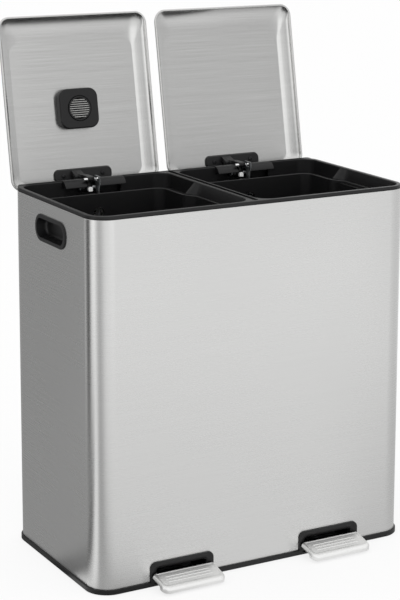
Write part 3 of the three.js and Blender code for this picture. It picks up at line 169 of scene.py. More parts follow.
def prism(name, loop, start, end, axis="z"):
    # An outline carried straight along one axis: (x, y) along z, (y, z) along x, or (x, z) along y.
    flat = np.asarray(loop, float)
    def at(d):
        column = np.full(len(flat), float(d))
        if axis == "x":
            return np.column_stack([column, flat[:, 0], flat[:, 1]])
        if axis == "y":
            return np.column_stack([flat[:, 0], column, flat[:, 1]])
        return np.column_stack([flat, column])
    return gridPiece(name, [at(start), at(end)])


def brick(name, x0, x1, y0, y1, z0, z1):
    return prism(name, [(x0, y0), (x1, y0), (x1, y1), (x0, y1)], z0, z1)


def combine(piece, operation, *others):
    # Joins ("UNION"), cuts ("DIFFERENCE") or keeps the common part ("INTERSECT") of closed shapes, and
    # removes the others.
    for other in others:
        change = piece.modifiers.new("shape", "BOOLEAN")
        change.operation, change.solver, change.object = operation, "EXACT", other
    return settle(piece, others)


def settle(piece, used=()):
    # Turns the piece's modifiers into its mesh.
    graph = bpy.context.evaluated_depsgraph_get()
    graph.update()
    mesh = bpy.data.meshes.new_from_object(piece.evaluated_get(graph))
    piece.modifiers.clear()
    piece.data = mesh
    for other in used:
        bpy.data.objects.remove(other)
    return piece


def dress(piece, material, body, replaced=(), angle=32, weigh=True):
    # Smooth shading with creases over the angle, then the material, body and the nodes that the piece
    # stands for.
    mesh = piece.data
    mesh.materials.clear()
    mesh.materials.append(material)
    mesh.polygons.foreach_set("material_index", np.zeros(len(mesh.polygons), np.int32))
    mesh.polygons.foreach_set("use_smooth", np.ones(len(mesh.polygons), bool))
    mesh.set_sharp_from_angle(angle=math.radians(angle))
    if weigh:
        weight = piece.modifiers.new("flat faces first", "WEIGHTED_NORMAL")
        weight.keep_sharp = True
    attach(piece, body)
    if replaced:
        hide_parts(*replaced)
    return piece


def softenEdges(piece, width, segments=3, angle=35):
    bevel = piece.modifiers.new("edges", "BEVEL")
    bevel.width, bevel.segments, bevel.limit_method = width / 1000, segments, "ANGLE"
    bevel.angle_limit = math.radians(angle)
    bevel.harden_normals = False
    return settle(piece)


def place(piece, matrix):
    piece.data.transform(matrix)
    piece.data.update()
    return piece


def mmMatrix(x, y, z, turn=None):
    shift = Matrix.Translation((x / 1000, y / 1000, z / 1000))
    return shift @ turn if turn else shift


# ---------------------------------------------------------------- finishes


def linear(hexColour):
    # sRGB hex to linear light: c/12.92 below 0.04045, else ((c + 0.055)/1.055)^2.4.
    c = np.array([int(hexColour[k : k + 2], 16) / 255 for k in (1, 3, 5)])
    return (*np.where(c <= 0.04045, c / 12.92, ((c + 0.055) / 1.055) ** 2.4), 1.0)


def addNode(tree, kind, inputs=None, **settings):
    made = tree.nodes.new(kind)
    for key, value in settings.items():
        setattr(made, key, value)
    for key, value in (inputs or {}).items():
        if isinstance(value, bpy.types.NodeSocket):
            tree.links.new(value, made.inputs[key])
        else:
            made.inputs[key].default_value = value
    return made


def newMaterial(name):
    material = bpy.data.materials.new(name)
    material.use_nodes = True
    material.node_tree.nodes.clear()
    return material, material.node_tree


def addMath(tree, operation, first, second):
    return addNode(tree, "ShaderNodeMath", {0: first, 1: second}, operation=operation).outputs[0]


def addNoise(tree, spot, scale, detail, roughness=0.5):
    inputs = {"Vector": spot, "Scale": scale, "Detail": detail, "Roughness": roughness}
    return addNode(tree, "ShaderNodeTexNoise", inputs).outputs["Fac"]


def addTone(tree, factor, look, low, high):
    # The finish's dark colour up to the low factor, and its light one from the high factor on.
    tone = addNode(tree, "ShaderNodeValToRGB", {"Fac": factor})
    for end, position, shade in ((0, low, "dark"), (1, high, "light")):
        tone.color_ramp.elements[end].position = position
        tone.color_ramp.elements[end].color = linear(look[shade])
    return tone.outputs["Color"]


def addSpread(tree, value, low, high, middle, spread):
    inputs = {"Value": value, "From Min": low, "From Max": high, "To Min": middle - spread,
              "To Max": middle + spread}
    return addNode(tree, "ShaderNodeMapRange", inputs).outputs[0]


def addBump(tree, height, strength, distance):
    inputs = {"Height": height, "Strength": strength, "Distance": distance}
    return addNode(tree, "ShaderNodeBump", inputs).outputs["Normal"]


def finishWith(tree, inputs):
    shader = addNode(tree, "ShaderNodeBsdfPrincipled", inputs)
    addNode(tree, "ShaderNodeOutputMaterial", {"Surface": shader.outputs["BSDF"]})


def brushedSteel(name, look):
    # Stainless steel brushed in one direction with a belt: fine parallel scratches that stretch reflections
    # across
    # the grain, so upright bands stay crisp while heights melt together. The grain follows u of the piece's
    # own map.
    material, tree = newMaterial(name)
    spot = addNode(tree, "ShaderNodeUVMap", uv_map="grain").outputs["UV"]
    u, v = look["grainLength"], look["grainPitch"]
    stretched = addNode(tree, "ShaderNodeMapping",
                        {"Vector": spot, "Scale": (1000 / u, 1000 / v, 1)}).outputs[0]
    wide = addNode(tree, "ShaderNodeMapping",
                   {"Vector": spot, "Scale": (1000 / (u * 4), 1000 / (v * 9), 1)}).outputs[0]
    fine = addNoise(tree, stretched, 1.0, 3.0, 0.6)
    bands = addNoise(tree, wide, 1.0, 2.0)
    cloud = addNoise(tree, spot, 5.0, 2.0)
    mixed = addNode(tree, "ShaderNodeMix", {"Factor": 0.25, "A": fine, "B": bands},
                    data_type="FLOAT").outputs[0]
    rough = addSpread(tree, mixed, 0.2, 0.8, look["roughness"], 0.02)
    handled = addSpread(tree, cloud, 0.35, 0.75, 0.01, 0.01)
    finishWith(tree, {
        "Base Color": addTone(tree, mixed, look, 0.25, 0.75), "Metallic": 1.0,
        "Roughness": addMath(tree, "ADD", rough, handled), "Anisotropic": look["anisotropic"],
        "Anisotropic Rotation": 0.25, "Normal": addBump(tree, fine, look["bump"], 0.00008),
        "Tangent": addNode(tree, "ShaderNodeTangent", direction_type="UV_MAP",
        uv_map="grain").outputs["Tangent"]})
    return material


def mouldedPlastic(name, look):
    # Moulded plastic, rubber or felt: an even sheen, a fine grain in the surface and a faint drift in tone.
    material, tree = newMaterial(name)
    spot = addNode(tree, "ShaderNodeTexCoord").outputs["Object"]
    grain = addNoise(tree, spot, 1000 / look["grain"], 4.0, 0.65)
    flow = addNoise(tree, spot, 9.0, 3.0)
    finishWith(tree, {
        "Base Color": addTone(tree, flow, look, 0.3, 0.7), "IOR": look["ior"],
        "Roughness": addSpread(tree, grain, 0.3, 0.7, look["roughness"], 0.05),
        "Normal": addBump(tree, grain, look["bump"], 0.0001)})
    return material


def bareMetal(name, look):
    # Zinc plate or turned bar: a cool grey metal, cloudy from the plating bath, with a fine even tooth.
    material, tree = newMaterial(name)
    spot = addNode(tree, "ShaderNodeTexCoord").outputs["Object"]
    cloud = addNoise(tree, spot, 1000 / look["cloud"], 4.0)
    tooth = addNoise(tree, spot, 1000 / look["tooth"], 2.0)
    finishWith(tree, {
        "Base Color": addTone(tree, cloud, look, 0.3, 0.7), "Metallic": 1.0,
        "Roughness": addSpread(tree, cloud, 0.3, 0.7, look["roughness"], 0.06),
        "Normal": addBump(tree, tooth, look["bump"], 0.00005)})
    return material


finishes = {
    # brushed stainless sheet; real scratches are about 0.1 mm apart and are drawn wider apart so that they
    # show
    "body": dict(dark="#dadad9", light="#dfdfde", grainLength=150, grainPitch=1.2, roughness=0.27,
                 anisotropic=0.9, bump=0.004),
    "lid": dict(dark="#c6c6c5", light="#d7d7d6", grainLength=110, grainPitch=1.1, roughness=0.22,
                anisotropic=0.85, bump=0.006),
    "pedal": dict(dark="#f1f1f0", light="#fafaf9", grainLength=60, grainPitch=0.9, roughness=0.42,
                  anisotropic=0.3, bump=0.02),
    "frame": dict(dark="#101011", light="#141415", grain=0.9, roughness=0.4, bump=0.15, ior=1.42),
    "bucket": dict(dark="#0f0f10", light="#131314", grain=1.1, roughness=0.38, bump=0.12, ior=1.5),
    # grille slats: black plastic given a light grey colour, which is painted highlight on the rounded bars
    "grille": dict(dark="#a2a2a0", light="#b2b2b0", grain=0.6, roughness=0.35, bump=0.1, ior=1.49),
    "nylon": dict(dark="#f8f8f6", light="#fdfdfc", grain=0.7, roughness=0.4, bump=0.1, ior=1.53),
    "rubber": dict(dark="#151515", light="#1c1c1c", grain=0.6, roughness=0.85, bump=0.5, ior=1.52),
    "charcoal": dict(dark="#0d0d0d", light="#191919", grain=1.4, roughness=0.95, bump=0.9, ior=1.45),
    "black": dict(dark="#2a2a2b", light="#3a3a3b", cloud=6, tooth=0.4, roughness=0.4, bump=0.1),
    "zinc": dict(dark="#a2a5a7", light="#bcbfc1", cloud=14, tooth=0.5, roughness=0.36, bump=0.2),
    "pin": dict(dark="#f0f0f0", light="#fafafa", cloud=8, tooth=0.3, roughness=0.16, bump=0.05),
}
bodySteel = brushedSteel("brushed_stainless_sheet", finishes["body"])
lidSteel = brushedSteel("brushed_stainless_lid", finishes["lid"])
pedalSteel = brushedSteel("satin_stainless_pedal", finishes["pedal"])
framePlastic = mouldedPlastic("black_polypropylene", finishes["frame"])
bucketPlastic = mouldedPlastic("black_polypropylene_bucket", finishes["bucket"])
# the grille's light grey is painted highlight: the slats are black plastic
grilleHighlightGrey = mouldedPlastic("grille_painted_highlight_grey", finishes["grille"])
whiteNylon = mouldedPlastic("white_nylon", finishes["nylon"])
footRubber = mouldedPlastic("black_rubber", finishes["rubber"])
charcoalFelt = mouldedPlastic("charcoal_felt", finishes["charcoal"])
zincPlate = bareMetal("zinc_plated_steel", finishes["zinc"])
turnedPin = bareMetal("bright_turned_steel", finishes["pin"])
darkScrew = bareMetal("black_zinc_screw", finishes["black"])
print("finishes made")

# ---------------------------------------------------------------- steel body

body = dict(width=585.8, depth=317.2, corner=36, bottom=8.2, top=606.2, sheet=1.0, cornerSteps=20,
            seamWidth=12, seamThick=0.6)
front, rear = -body["depth"] / 2, body["depth"] / 2
gap = 0.3


def bodyLoop(inset, z):
    half = body["width"] / 2 - inset
    loop = rectLoop(-half, half, front + inset, rear - inset, body["corner"] - inset, body["cornerSteps"],
                    1.5)
    return level(loop, z)


cup = dict(length=114, height=45, radius=21, flange=4.5, proud=2.2, depth=16, wall=2, centre=562.6,
           outerRound=1.6, innerRound=1.2, floorRound=5, draft=0.6)


def cupLoop(inset, z):
    half = (cup["length"] / 2 - inset, cup["height"] / 2 - inset)
    return level(rectLoop(-half[0], half[0], -half[1], half[1], cup["radius"] - inset, 14, 0.5), z)


def onSide(piece, side):
    # Local x runs along the side, y up and z outwards.
    turn = Matrix(((0, 0, side, 0), (side, 0, 0, 0), (0, 1, 0, 0), (0, 0, 0, 1)))
    place(piece, mmMatrix(side * body["width"] / 2, 0, cup["centre"], turn))
    return piece


pedal = dict(middle=140.3, archWidth=115, archHeight=39.8, archRadius=10, archDepth=12, rim=3.3, dish=3.5,
             slotWidth=92, slotBottom=3.5, slotTop=28.2, slotRadius=4, plinthProud=2.7)
collarFront = front - pedal["plinthProud"]


def archLoop(side, grow, bottom):
    x, half, r = side * pedal["middle"], pedal["archWidth"] / 2 + grow, pedal["archRadius"] + grow
    top = pedal["archHeight"] + grow
    return filletLoop([(x - half, bottom, 0.05), (x + half, bottom, 0.05), (x + half, top, r),
                       (x - half, top, r)], 12)


wall = [(0.3, body["bottom"]), (0, body["bottom"] + 0.3), (0, 40), (0, 320), (0, body["top"] - 4),
        (0, body["top"] - 0.3),
        (0.3, body["top"]), (0.7, body["top"]), (1, body["top"] - 0.3), (1, 320), (1, body["bottom"] + 0.3),
        (0.7, body["bottom"])]
shell = gridPiece("steel_body", [bodyLoop(inset, z) for inset, z in wall], ring=True)
for side in (-1, 1):
    hole = gridPiece("hole", [cupLoop(cup["flange"] - gap, -8), cupLoop(cup["flange"] - gap, 5)])
    arch = prism("hole", archLoop(side, gap, 0), collarFront - 2, front + 6, "y")
    combine(shell, "DIFFERENCE", onSide(hole, side), arch)
dress(shell, bodySteel, "root", ["outer_shell"])
seam = brick("rear_seam", -body["seamWidth"] / 2, body["seamWidth"] / 2, rear, rear + body["seamThick"],
             body["bottom"], body["top"])
softenEdges(seam, 0.25, 2)
dress(seam, bodySteel, "root")
print("steel body made")

# ---------------------------------------------------------------- hand recesses

for side, word in ((-1, "left"), (1, "right")):
    mouth = cup["flange"] + cup["wall"]
    t = quarter(6)
    outer, inner, low = cup["outerRound"], cup["innerRound"], cup["floorRound"]
    bed = mouth + cup["draft"]
    rows = [cupLoop(cup["flange"] + 2, -cup["depth"] - cup["wall"]),
            cupLoop(cup["flange"], -cup["depth"] + 2)]
    rows += [cupLoop(cup["flange"], 0.1), cupLoop(0, 0.1)]
    rows += [cupLoop(outer * (1 - math.cos(a)), cup["proud"] - outer + outer * math.sin(a)) for a in t]
    rows += [cupLoop(mouth - inner * math.cos(a),
                     cup["proud"] - inner + inner * math.sin(a)) for a in t[::-1]]
    rows += [cupLoop(bed, -cup["depth"] + low)]
    rows += [cupLoop(bed + low * (1 - math.cos(a)), -cup["depth"] + low - low * math.sin(a)) for a in t[1:]]
    recess = onSide(gridPiece("hand_recess_" + word, rows), side)
    dress(recess, framePlastic, "root", ["handle_cup_" + word])
print("hand recesses made")

# ---------------------------------------------------------------- base tray with plinth and pedal collars

tray = dict(floor=2.5, wall=2.5, upstand=40.2, edge=0.8)
inside = body["sheet"] + gap
proud = -pedal["plinthProud"]
t = quarter(5)
edge = tray["edge"]
rows = [bodyLoop(proud + edge * (1 - math.sin(a)), edge * (1 - math.cos(a))) for a in t]
rows += [bodyLoop(proud + edge * (1 - math.cos(a)), body["bottom"] - edge * (1 - math.sin(a))) for a in t]
rows += [bodyLoop(inside, body["bottom"]), bodyLoop(inside, tray["upstand"])]
rows += [bodyLoop(inside + tray["wall"], tray["upstand"]), bodyLoop(inside + tray["wall"], tray["floor"])]
plinth = gridPiece("base_tray", rows)
for side in (-1, 1):
    x = side * pedal["middle"]
    collar = prism("collar", archLoop(side, 0, 1), collarFront, collarFront + pedal["archDepth"], "y")
    combine(plinth, "UNION", collar)
    half = pedal["archWidth"] / 2 - pedal["rim"]
    inner = pedal["archRadius"] - pedal["rim"]
    stand = lambda loop, y: np.column_stack([loop[:, 0], np.full(len(loop), float(y)), loop[:, 1]])
    slotLoop = rectLoop(x - pedal["slotWidth"] / 2, x + pedal["slotWidth"] / 2, pedal["slotBottom"],
                        pedal["slotTop"], pedal["slotRadius"], 8)
    faceLoop = rectLoop(x - half, x + half, pedal["slotBottom"], pedal["archHeight"] - pedal["rim"], inner, 8)
    dish = gridPiece("dish",
                     [stand(slotLoop, collarFront + 16), stand(slotLoop, collarFront + pedal["dish"]),
                      stand(faceLoop, collarFront), stand(faceLoop, collarFront - 2)])
    combine(plinth, "DIFFERENCE", dish)
dress(plinth, framePlastic, "root", ["base"])
print("base made")

# ---------------------------------------------------------------- openings of the buckets and the frame

bucket = dict(spacing=295, frontWidth=267, rearWidth=240, stepStart=14, stepEnd=38, stepRound=6, rim=592.2,
              rimWidth=2.4,
              rimHeight=7, wall=2.2, draft=9, radius=22, clearance=1.2, bagHole=10, bagHoleDrop=34,
              bagHoleShift=-5,
              bottom=60, bottomRound=5, back=117, front=-149,
              rimRound=1.2)


def stepLoop(middle, y0, y1, frontWidth, rearWidth, r, z):
    # Plan outline of a compartment: wide in front, narrower behind, with a slanted step in both sides.
    s = bucket["stepRound"]
    f, b = frontWidth / 2, rearWidth / 2
    corners = [(-f, y0, r), (f, y0, r), (f, bucket["stepStart"], s), (b, bucket["stepEnd"], s),
               (b, y1, r), (-b, y1, r), (-b, bucket["stepEnd"], s), (-f, bucket["stepStart"], s)]
    return level(filletLoop([(middle + x, y, k) for x, y, k in corners], 10, 0.8), z)


def bucketLoop(side, inset, z):
    return stepLoop(side * bucket["spacing"] / 2, bucket["front"] + inset, bucket["back"] - inset,
                    bucket["frontWidth"] - 2 * inset, bucket["rearWidth"] - 2 * inset,
                    bucket["radius"] - inset, z)


def reliefPiece(side, wallThick):
    # The outer side of a bucket is set back behind the hand recess all the way down, so that the bucket
    # lifts out.
    back = body["width"] / 2 - cup["depth"] - cup["wall"] - bucket["clearance"]
    half = cup["length"] / 2 + bucket["clearance"] + wallThick
    x0, x1 = sorted((side * (back - wallThick), side * body["width"]))
    loop = rectLoop(x0, x1, -half, half, 4 + wallThick, 6)
    return prism("relief", loop, bucket["bottom"] - 5, bucket["rim"] - bucket["rimHeight"] + wallThick)


for side, word in ((-1, "left"), (1, "right")):
    foot, top, b = bucket["rim"] - bucket["rimHeight"], bucket["rim"], bucket["bottom"]
    draft, r, inner = bucket["draft"], bucket["bottomRound"], bucket["rimWidth"] + bucket["wall"]
    curl = bucket["rimRound"]
    t = quarter(6)
    rows = [bucketLoop(side, draft + r * (1 - math.sin(a)), b + r * (1 - math.cos(a))) for a in t]
    rows += [bucketLoop(side, bucket["rimWidth"], foot), bucketLoop(side, 0, foot),
             bucketLoop(side, 0, top - curl)]
    rows += [bucketLoop(side, curl * (1 - math.cos(a)), top - curl + curl * math.sin(a)) for a in t[1:]]
    tub = combine(gridPiece("bucket_shell_" + word, rows), "DIFFERENCE", reliefPiece(side, 0))
    floor = b + bucket["wall"]
    rows = [bucketLoop(side, draft + bucket["wall"] + r * (1 - math.sin(a)),
                       floor + r * (1 - math.cos(a))) for a in t]
    rows += [bucketLoop(side, inner, foot), bucketLoop(side, inner, top - 1)]
    rows += [bucketLoop(side, inner - 1 + math.cos(a), top - 1 + math.sin(a)) for a in t[1:]]
    rows += [bucketLoop(side, inner - 1, top + 2)]
    hollow = combine(gridPiece("hollow", rows), "DIFFERENCE", reliefPiece(side, bucket["wall"]))
    x = side * bucket["spacing"] / 2 + bucket["bagHoleShift"]
    hole = prism("hole", roundLoop(x, top - bucket["bagHoleDrop"], bucket["bagHole"]), bucket["back"] - 20,
                 bucket["back"] + 20, "y")
    combine(tub, "DIFFERENCE", hollow, hole)
    dress(tub, bucketPlastic, "bucket_" + word, ["bucket_" + word])
deck = dict(top=60, thick=3, gap=1.5, edge=0.6)
rows = [bodyLoop(deck["gap"], deck["top"] - deck["thick"]), bodyLoop(deck["gap"], deck["top"] - deck["edge"]),
        bodyLoop(deck["gap"] + deck["edge"], deck["top"])]
shelf = gridPiece("bucket_deck_plate", rows)
combine(shelf, "DIFFERENCE",
        brick("trim", -310, 310, bucket["back"] - bucket["clearance"], rear + 5, deck["top"] - 10,
              deck["top"] + 10))
dress(shelf, framePlastic, "root", ["bucket_deck"])
print("buckets made")

# ---------------------------------------------------------------- top frame

lip = dict(rise=6.3, width=8, edge=2, groove=1.2, skirt=2.5, reach=22, divider=17.6, dividerGroove=9,
           dividerDepth=2.6,
           ledge=14.6, throat=27, shelf=587)
hinge = dict(y=146.5, z=597.2, pin=3, gapWidth=25.6, gapShift=-16.9, recess=105.2, rib=5, ridge=16.3, chord=4)
lid = dict(open=100.5, sheet=1.2, depth=19.5, width=278.8, middle=147.8, frontEdge=297.0, rearLead=2.8,
           corner=21,
           panelCorner=20, frontCurve=44, sideCurve=23, rearCurve=9, hem=2.1, seat=16.65, lastTurn=78)
frameTop = body["top"] + lip["rise"]
frameBottom = body["top"] - lip["reach"]


def throatLoop(side, grow, z):
    x0, x1 = lip["divider"] / 2 - grow, body["width"] / 2 - lip["width"] + grow
    return stepLoop(side * (x0 + x1) / 2, front + lip["width"] - grow, rear - lip["ledge"] + grow, x1 - x0,
                    x1 - x0, lip["throat"] + grow, z)


def ridgeArc(start, end, count):
    # An arc about the hinge axis, (y, z) = axis + radius (cos a, sin a), closed by the line between its ends.
    a = np.linspace(start, end, count)
    return np.stack([hinge["y"] + hinge["ridge"] * np.cos(a), hinge["z"] + hinge["ridge"] * np.sin(a)], 1)


def ridgePrism(half):
    # The rounded ridge over the hinges.
    return prism("ridge", ridgeArc(0.72 * math.pi, 0, 28), -half, half, "x")


t = quarter(6)
e = lip["edge"]
neck = gap + lip["groove"]
rows = [bodyLoop(inside, frameBottom), bodyLoop(inside, body["top"]), bodyLoop(neck, body["top"]),
        bodyLoop(neck, body["top"] + lip["groove"]), bodyLoop(gap + 0.4, body["top"] + lip["groove"]),
        bodyLoop(gap, body["top"] + lip["groove"] + 0.4)]
rows += [bodyLoop(gap + e * (1 - math.cos(a)), frameTop - e + e * math.sin(a)) for a in t]
rim = gridPiece("top_rim", rows)
within = gridPiece("within", [bodyLoop(gap, body["top"] + lip["groove"]), bodyLoop(gap, frameTop + 20)])
behind = combine(brick("behind", -300, 300, hinge["y"], rear + 5, body["top"] + lip["groove"], frameTop + 20),
                 "DIFFERENCE", ridgePrism(310))
ridge = combine(ridgePrism(body["width"] / 2), "INTERSECT", within)
combine(rim, "DIFFERENCE", behind)
combine(rim, "UNION", ridge)
for side in (-1, 1):
    rows = [bucketLoop(side, -bucket["clearance"], frameBottom - 1),
            bucketLoop(side, -bucket["clearance"], bucket["rim"] + 1)]
    rows += [throatLoop(side, e * (1 - math.cos(a)), frameTop - e + e * math.sin(a)) for a in t]
    rows += [throatLoop(side, e, frameTop + 20)]
    combine(rim, "DIFFERENCE", gridPiece("throat", rows))
    # Behind the bucket the wall stands upright, with a low shelf at its foot.
    x0, x1 = lip["divider"] / 2, body["width"] / 2 - lip["width"]
    corners = [(x0, bucket["stepEnd"] + 2, 1), (x1, bucket["stepEnd"] + 2, 1),
               (x1, rear - lip["ledge"], lip["throat"]), (x0, rear - lip["ledge"], lip["throat"])]
    well = filletLoop([(side * x, y, r) for x, y, r in corners[::side]], 10)
    combine(rim, "DIFFERENCE", prism("well", well, lip["shelf"], frameTop - 1))
g = lip["dividerGroove"] / 2
grooveLoop = rectLoop(-g, g, front + lip["width"], rear - lip["ledge"], g * 0.9, 8)
combine(rim, "DIFFERENCE", prism("groove", grooveLoop, frameTop - lip["dividerDepth"], frameTop + 5))
skirtInside = rear - body["sheet"] - gap - lip["skirt"]
hollowWall = lip["skirt"] * 1.4
hollowFront = rear - lip["ledge"] + hollowWall
hollowTop = frameTop - hollowWall - 1.5
outline = [(hollowFront, frameBottom - 1), (skirtInside, frameBottom - 1), (skirtInside, hollowTop),
           (hollowFront, hollowTop)]
reach = body["width"] / 2 - body["corner"]
combine(rim, "DIFFERENCE", prism("hollow", outline, -reach, reach, "x"))
beamBottom = hinge["z"] + hinge["chord"]
for side, word in ((-1, "left"), (1, "right")):
    middle, half = side * lid["middle"], hinge["recess"] / 2
    left = middle + hinge["gapShift"]
    right = left + hinge["gapWidth"]
    slots = lambda: [brick("slot", left, right, bucket["back"], skirtInside + 0.01, frameBottom - 1,
            frameTop + 20),
                     brick("slot", left, right, skirtInside - 1, rear + 5, body["top"] - 1, frameTop + 20)]
    combine(rim, "DIFFERENCE",
            brick("recess", middle - half, middle + half, bucket["back"], skirtInside, frameBottom - 1,
                  beamBottom), *slots())
    # The hinge housing: a barrel about the hinge axis with a flat underside, parted by the slot of the arm.
    low = math.asin(hinge["chord"] / hinge["ridge"])
    barrel = ridgeArc(math.pi - low, low, 32)
    housing = prism("hinge_housing_" + word, barrel, middle - half - 4, middle + half + 4, "x")
    softenEdges(housing, 0.8, 2, 60)
    rows = [bodyLoop(inside + 0.3, frameBottom), bodyLoop(inside + 0.3, body["top"] + 0.2)]
    rows += [bodyLoop(gap + 0.2, body["top"] + 1.5), bodyLoop(gap + 0.2, frameTop + 20)]
    combine(housing, "INTERSECT", gridPiece("within", rows))
    combine(housing, "DIFFERENCE", *slots())
    dress(housing, framePlastic, "root", angle=30)
    for number, x0 in enumerate((left - hinge["rib"], right)):
        ear = prism(f"hinge_ear_{word}_{number + 1}", roundLoop(hinge["y"], hinge["z"], 7), x0,
                    x0 + hinge["rib"], "x")
        combine(ear, "UNION",
                brick("web", x0, x0 + hinge["rib"], hinge["y"] - 6, skirtInside + 1, hinge["z"],
                      beamBottom + 1))
        dress(ear, framePlastic, "root", angle=30)
dress(rim, framePlastic, "root", ["top_frame"], angle=30)
print("top frame made")

# ---------------------------------------------------------------- lids

panel = lid["seat"] + lid["depth"]


def lidLoop(share, inset, z):
    # Plan outline from the hem (share 0) to the flat panel (share 1), each border drawn in by its own width.
    half = lid["width"] / 2 - share * lid["sideCurve"] - inset
    y0 = -lid["frontEdge"] + share * lid["frontCurve"] + inset
    y1 = -lid["rearLead"] - share * lid["rearCurve"] - inset
    r = lid["corner"] + (lid["panelCorner"] - lid["corner"]) * share - inset
    return level(rectLoop(-half, half, y0, y1, r, 16, 1.5), z)


def lidPlace(side):
    turn = Matrix.Rotation(-math.radians(lid["open"]), 4, "X")
    return mmMatrix(side * lid["middle"], hinge["y"], hinge["z"], turn)


for side, word in ((-1, "left"), (1, "right")):
    def border(height, inset, start):
        # An ellipse from the hem towards the panel, stopped short of level so that the panel keeps a soft
        # edge.
        last = math.radians(lid["lastTurn"])
        a = np.linspace(start, last, 22)
        return [lidLoop((1 - math.cos(k)) / (1 - math.cos(last)), inset,
                        lid["seat"] + height * math.sin(k) / math.sin(last)) for k in a]
    hem = lid["hem"]
    under = border(lid["depth"], lid["sheet"], math.asin((2 * hem + 0.4) / lid["depth"]))[::-1]
    over = border(lid["depth"] + lid["sheet"], 0, math.asin(2 * hem / lid["depth"]))
    a = np.pi / 2 - np.linspace(0, 1.5 * np.pi, 16)
    bead = [lidLoop(0, hem * (1 + math.cos(k)), lid["seat"] + hem * (1 + math.sin(k))) for k in a]
    rows = np.array(under + bead + over)
    flatMap = rows[:, :, :2] / 1000
    steel = gridPiece("lid_pressing_" + word, rows, uv=flatMap)
    place(steel, lidPlace(side))
    dress(steel, lidSteel, "lid_" + word, ["lid_" + word], angle=40)
print("lids made")

# ---------------------------------------------------------------- pedals

tread = dict(width=114, length=46, thick=9, corner=12, tilt=13, top=22.5, standoff=2.7, sheet=1.6, skirt=5,
             roll=9, ribs=3)


def pedalLoop(inset, frontInset, rearInset, z):
    half = tread["width"] / 2 - inset
    y0, y1 = -tread["length"] + frontInset, -rearInset
    r = tread["corner"] - inset
    return level(filletLoop([(-half, y0, r), (half, y0, r), (half, y1, r / 3), (-half, y1, r / 3)], 10, 0.5),
                 z)


def pedalPlace(side):
    tilt = Matrix.Rotation(math.radians(tread["tilt"]), 4, "X")
    return mmMatrix(side * pedal["middle"], collarFront - tread["standoff"], tread["top"], tilt)


for side, word in ((-1, "left"), (1, "right")):
    th = tread["thick"]
    t = quarter(9)
    rows = [pedalLoop(0, 0, 0, -th), pedalLoop(0, 0.5, 0, -th * 0.75)]
    rows += [pedalLoop(3.2 * (1 - math.cos(a)), 0.5 + 8 * (1 - math.cos(a)), 0.8 * (1 - math.cos(a)),
                       -th * 0.6 * (1 - math.sin(a))) for a in t]
    rows += [pedalLoop(4.6, 10, 2, 0), pedalLoop(5.6, 11.2, 2.8, -0.45), pedalLoop(6.6, 12.5, 3.6, -0.5)]
    pad = gridPiece("pedal_tread_" + word, rows)
    s = tread["sheet"]
    rows = [pedalLoop(s, s, -1, -th - 1), pedalLoop(s, s, -1, -th * 0.6),
            pedalLoop(s + 1, s + 2.4, -1, -th * 0.4), pedalLoop(s + 3, s + 6, -1, -s - 1)]
    combine(pad, "DIFFERENCE", gridPiece("hollow", rows))
    k = tread["roll"] - tread["length"]
    outline = [(k, -3 * th), (tread["roll"], -3 * th), (tread["roll"], -tread["skirt"]),
               (k + tread["roll"], -tread["skirt"])]
    combine(pad, "DIFFERENCE", prism("trim", outline, -tread["width"], tread["width"], "x"))
    for number in range(tread["ribs"]):
        # long low ribs pressed up from the tread: half an ellipse across, with round ends
        y, reach = -tread["length"] * (0.25 + 0.15 * number), tread["width"] * 0.34
        swell = [(1.0, -1.2),
                 (1.0, -0.5)] + [(math.cos(k), -0.5 + 0.45 * math.sin(k)) for k in quarter(5)[1:-1]]
        rib = gridPiece("rib",
                        [level(linkLoop((-reach, y), (reach, y), 1.5 * w, 1.5 * w, 8), z) for w, z in swell])
        combine(pad, "UNION", rib)
    place(pad, pedalPlace(side))
    dress(pad, pedalSteel, "pedal_" + word, ["pedal_pad_" + word])
    # The pedal's black underside, let down about a millimetre below the tread's lower edge. Its rim shows as a
    # thin dark line, which is painted shadow under the tread's front.
    rows = [pedalLoop(1.4, 1.6, 1, -th - 1.1), pedalLoop(1.0, 1.2, 1, -th - 0.8),
            pedalLoop(1.0, 1.2, 1, -th + 1)]
    soleShadowLine = gridPiece("pedal_sole_shadow_line_" + word, rows)
    outline = [(k - 2, -3 * th), (tread["roll"], -3 * th), (tread["roll"], -tread["skirt"] - 1),
               (k + tread["roll"], -tread["skirt"] - 1), (k - 2, -th - 1.1)]
    combine(soleShadowLine, "DIFFERENCE", prism("trim", outline, -tread["width"], tread["width"], "x"))
    place(soleShadowLine, pedalPlace(side))
    dress(soleShadowLine, framePlastic, "pedal_" + word)
print("pedals made")

# ---------------------------------------------------------------- hinge brackets, in each lid's own frame

bracket = dict(length=20.5, width=107, thick=4.5, radius=8, flare=1.5, shift=1.2, rear=12.4, left=-15.5,
               right=-4.5, armFlare=7,
               armRadius=4.5, hub=5.6, crank=(-14.07, -16.91), crankPin=2.25, boss=2.3, spread=74, screw=4,
               screwHeight=2.2,
               pinHead=2.9, pinHeadLength=7, pinTip=3.6, buffer=8, bufferThick=4.5, bufferReach=10.2,
               bufferShift=3)
bracketFace = panel - gap - bracket["thick"]
screwY = -bracket["rear"] - bracket["length"] / 2


def chain(name, links, x0, x1):
    # A flat arm through the circles (y, z, r), joined two by two.
    parts = [prism(name, linkLoop(a[:2], b[:2], a[2], b[2]), x0, x1, "x") for a, b in zip(links, links[1:])]
    return combine(parts[0], "UNION", *parts[1:]) if parts[1:] else parts[0]


def plateLoop(grow, z):
    x0, x1 = bracket["shift"] - bracket["width"] / 2 - grow, bracket["shift"] + bracket["width"] / 2 + grow
    return level(rectLoop(x0, x1, -bracket["rear"] - bracket["length"] - grow, -bracket["rear"],
                          bracket["radius"] + grow, 10), z)


def knob(name, profile, x, y):
    # A turned piece about an upright axis: circles of the given radius at each height.
    return gridPiece(name, [level(roundLoop(x, y, r, 24), z) for r, z in profile])


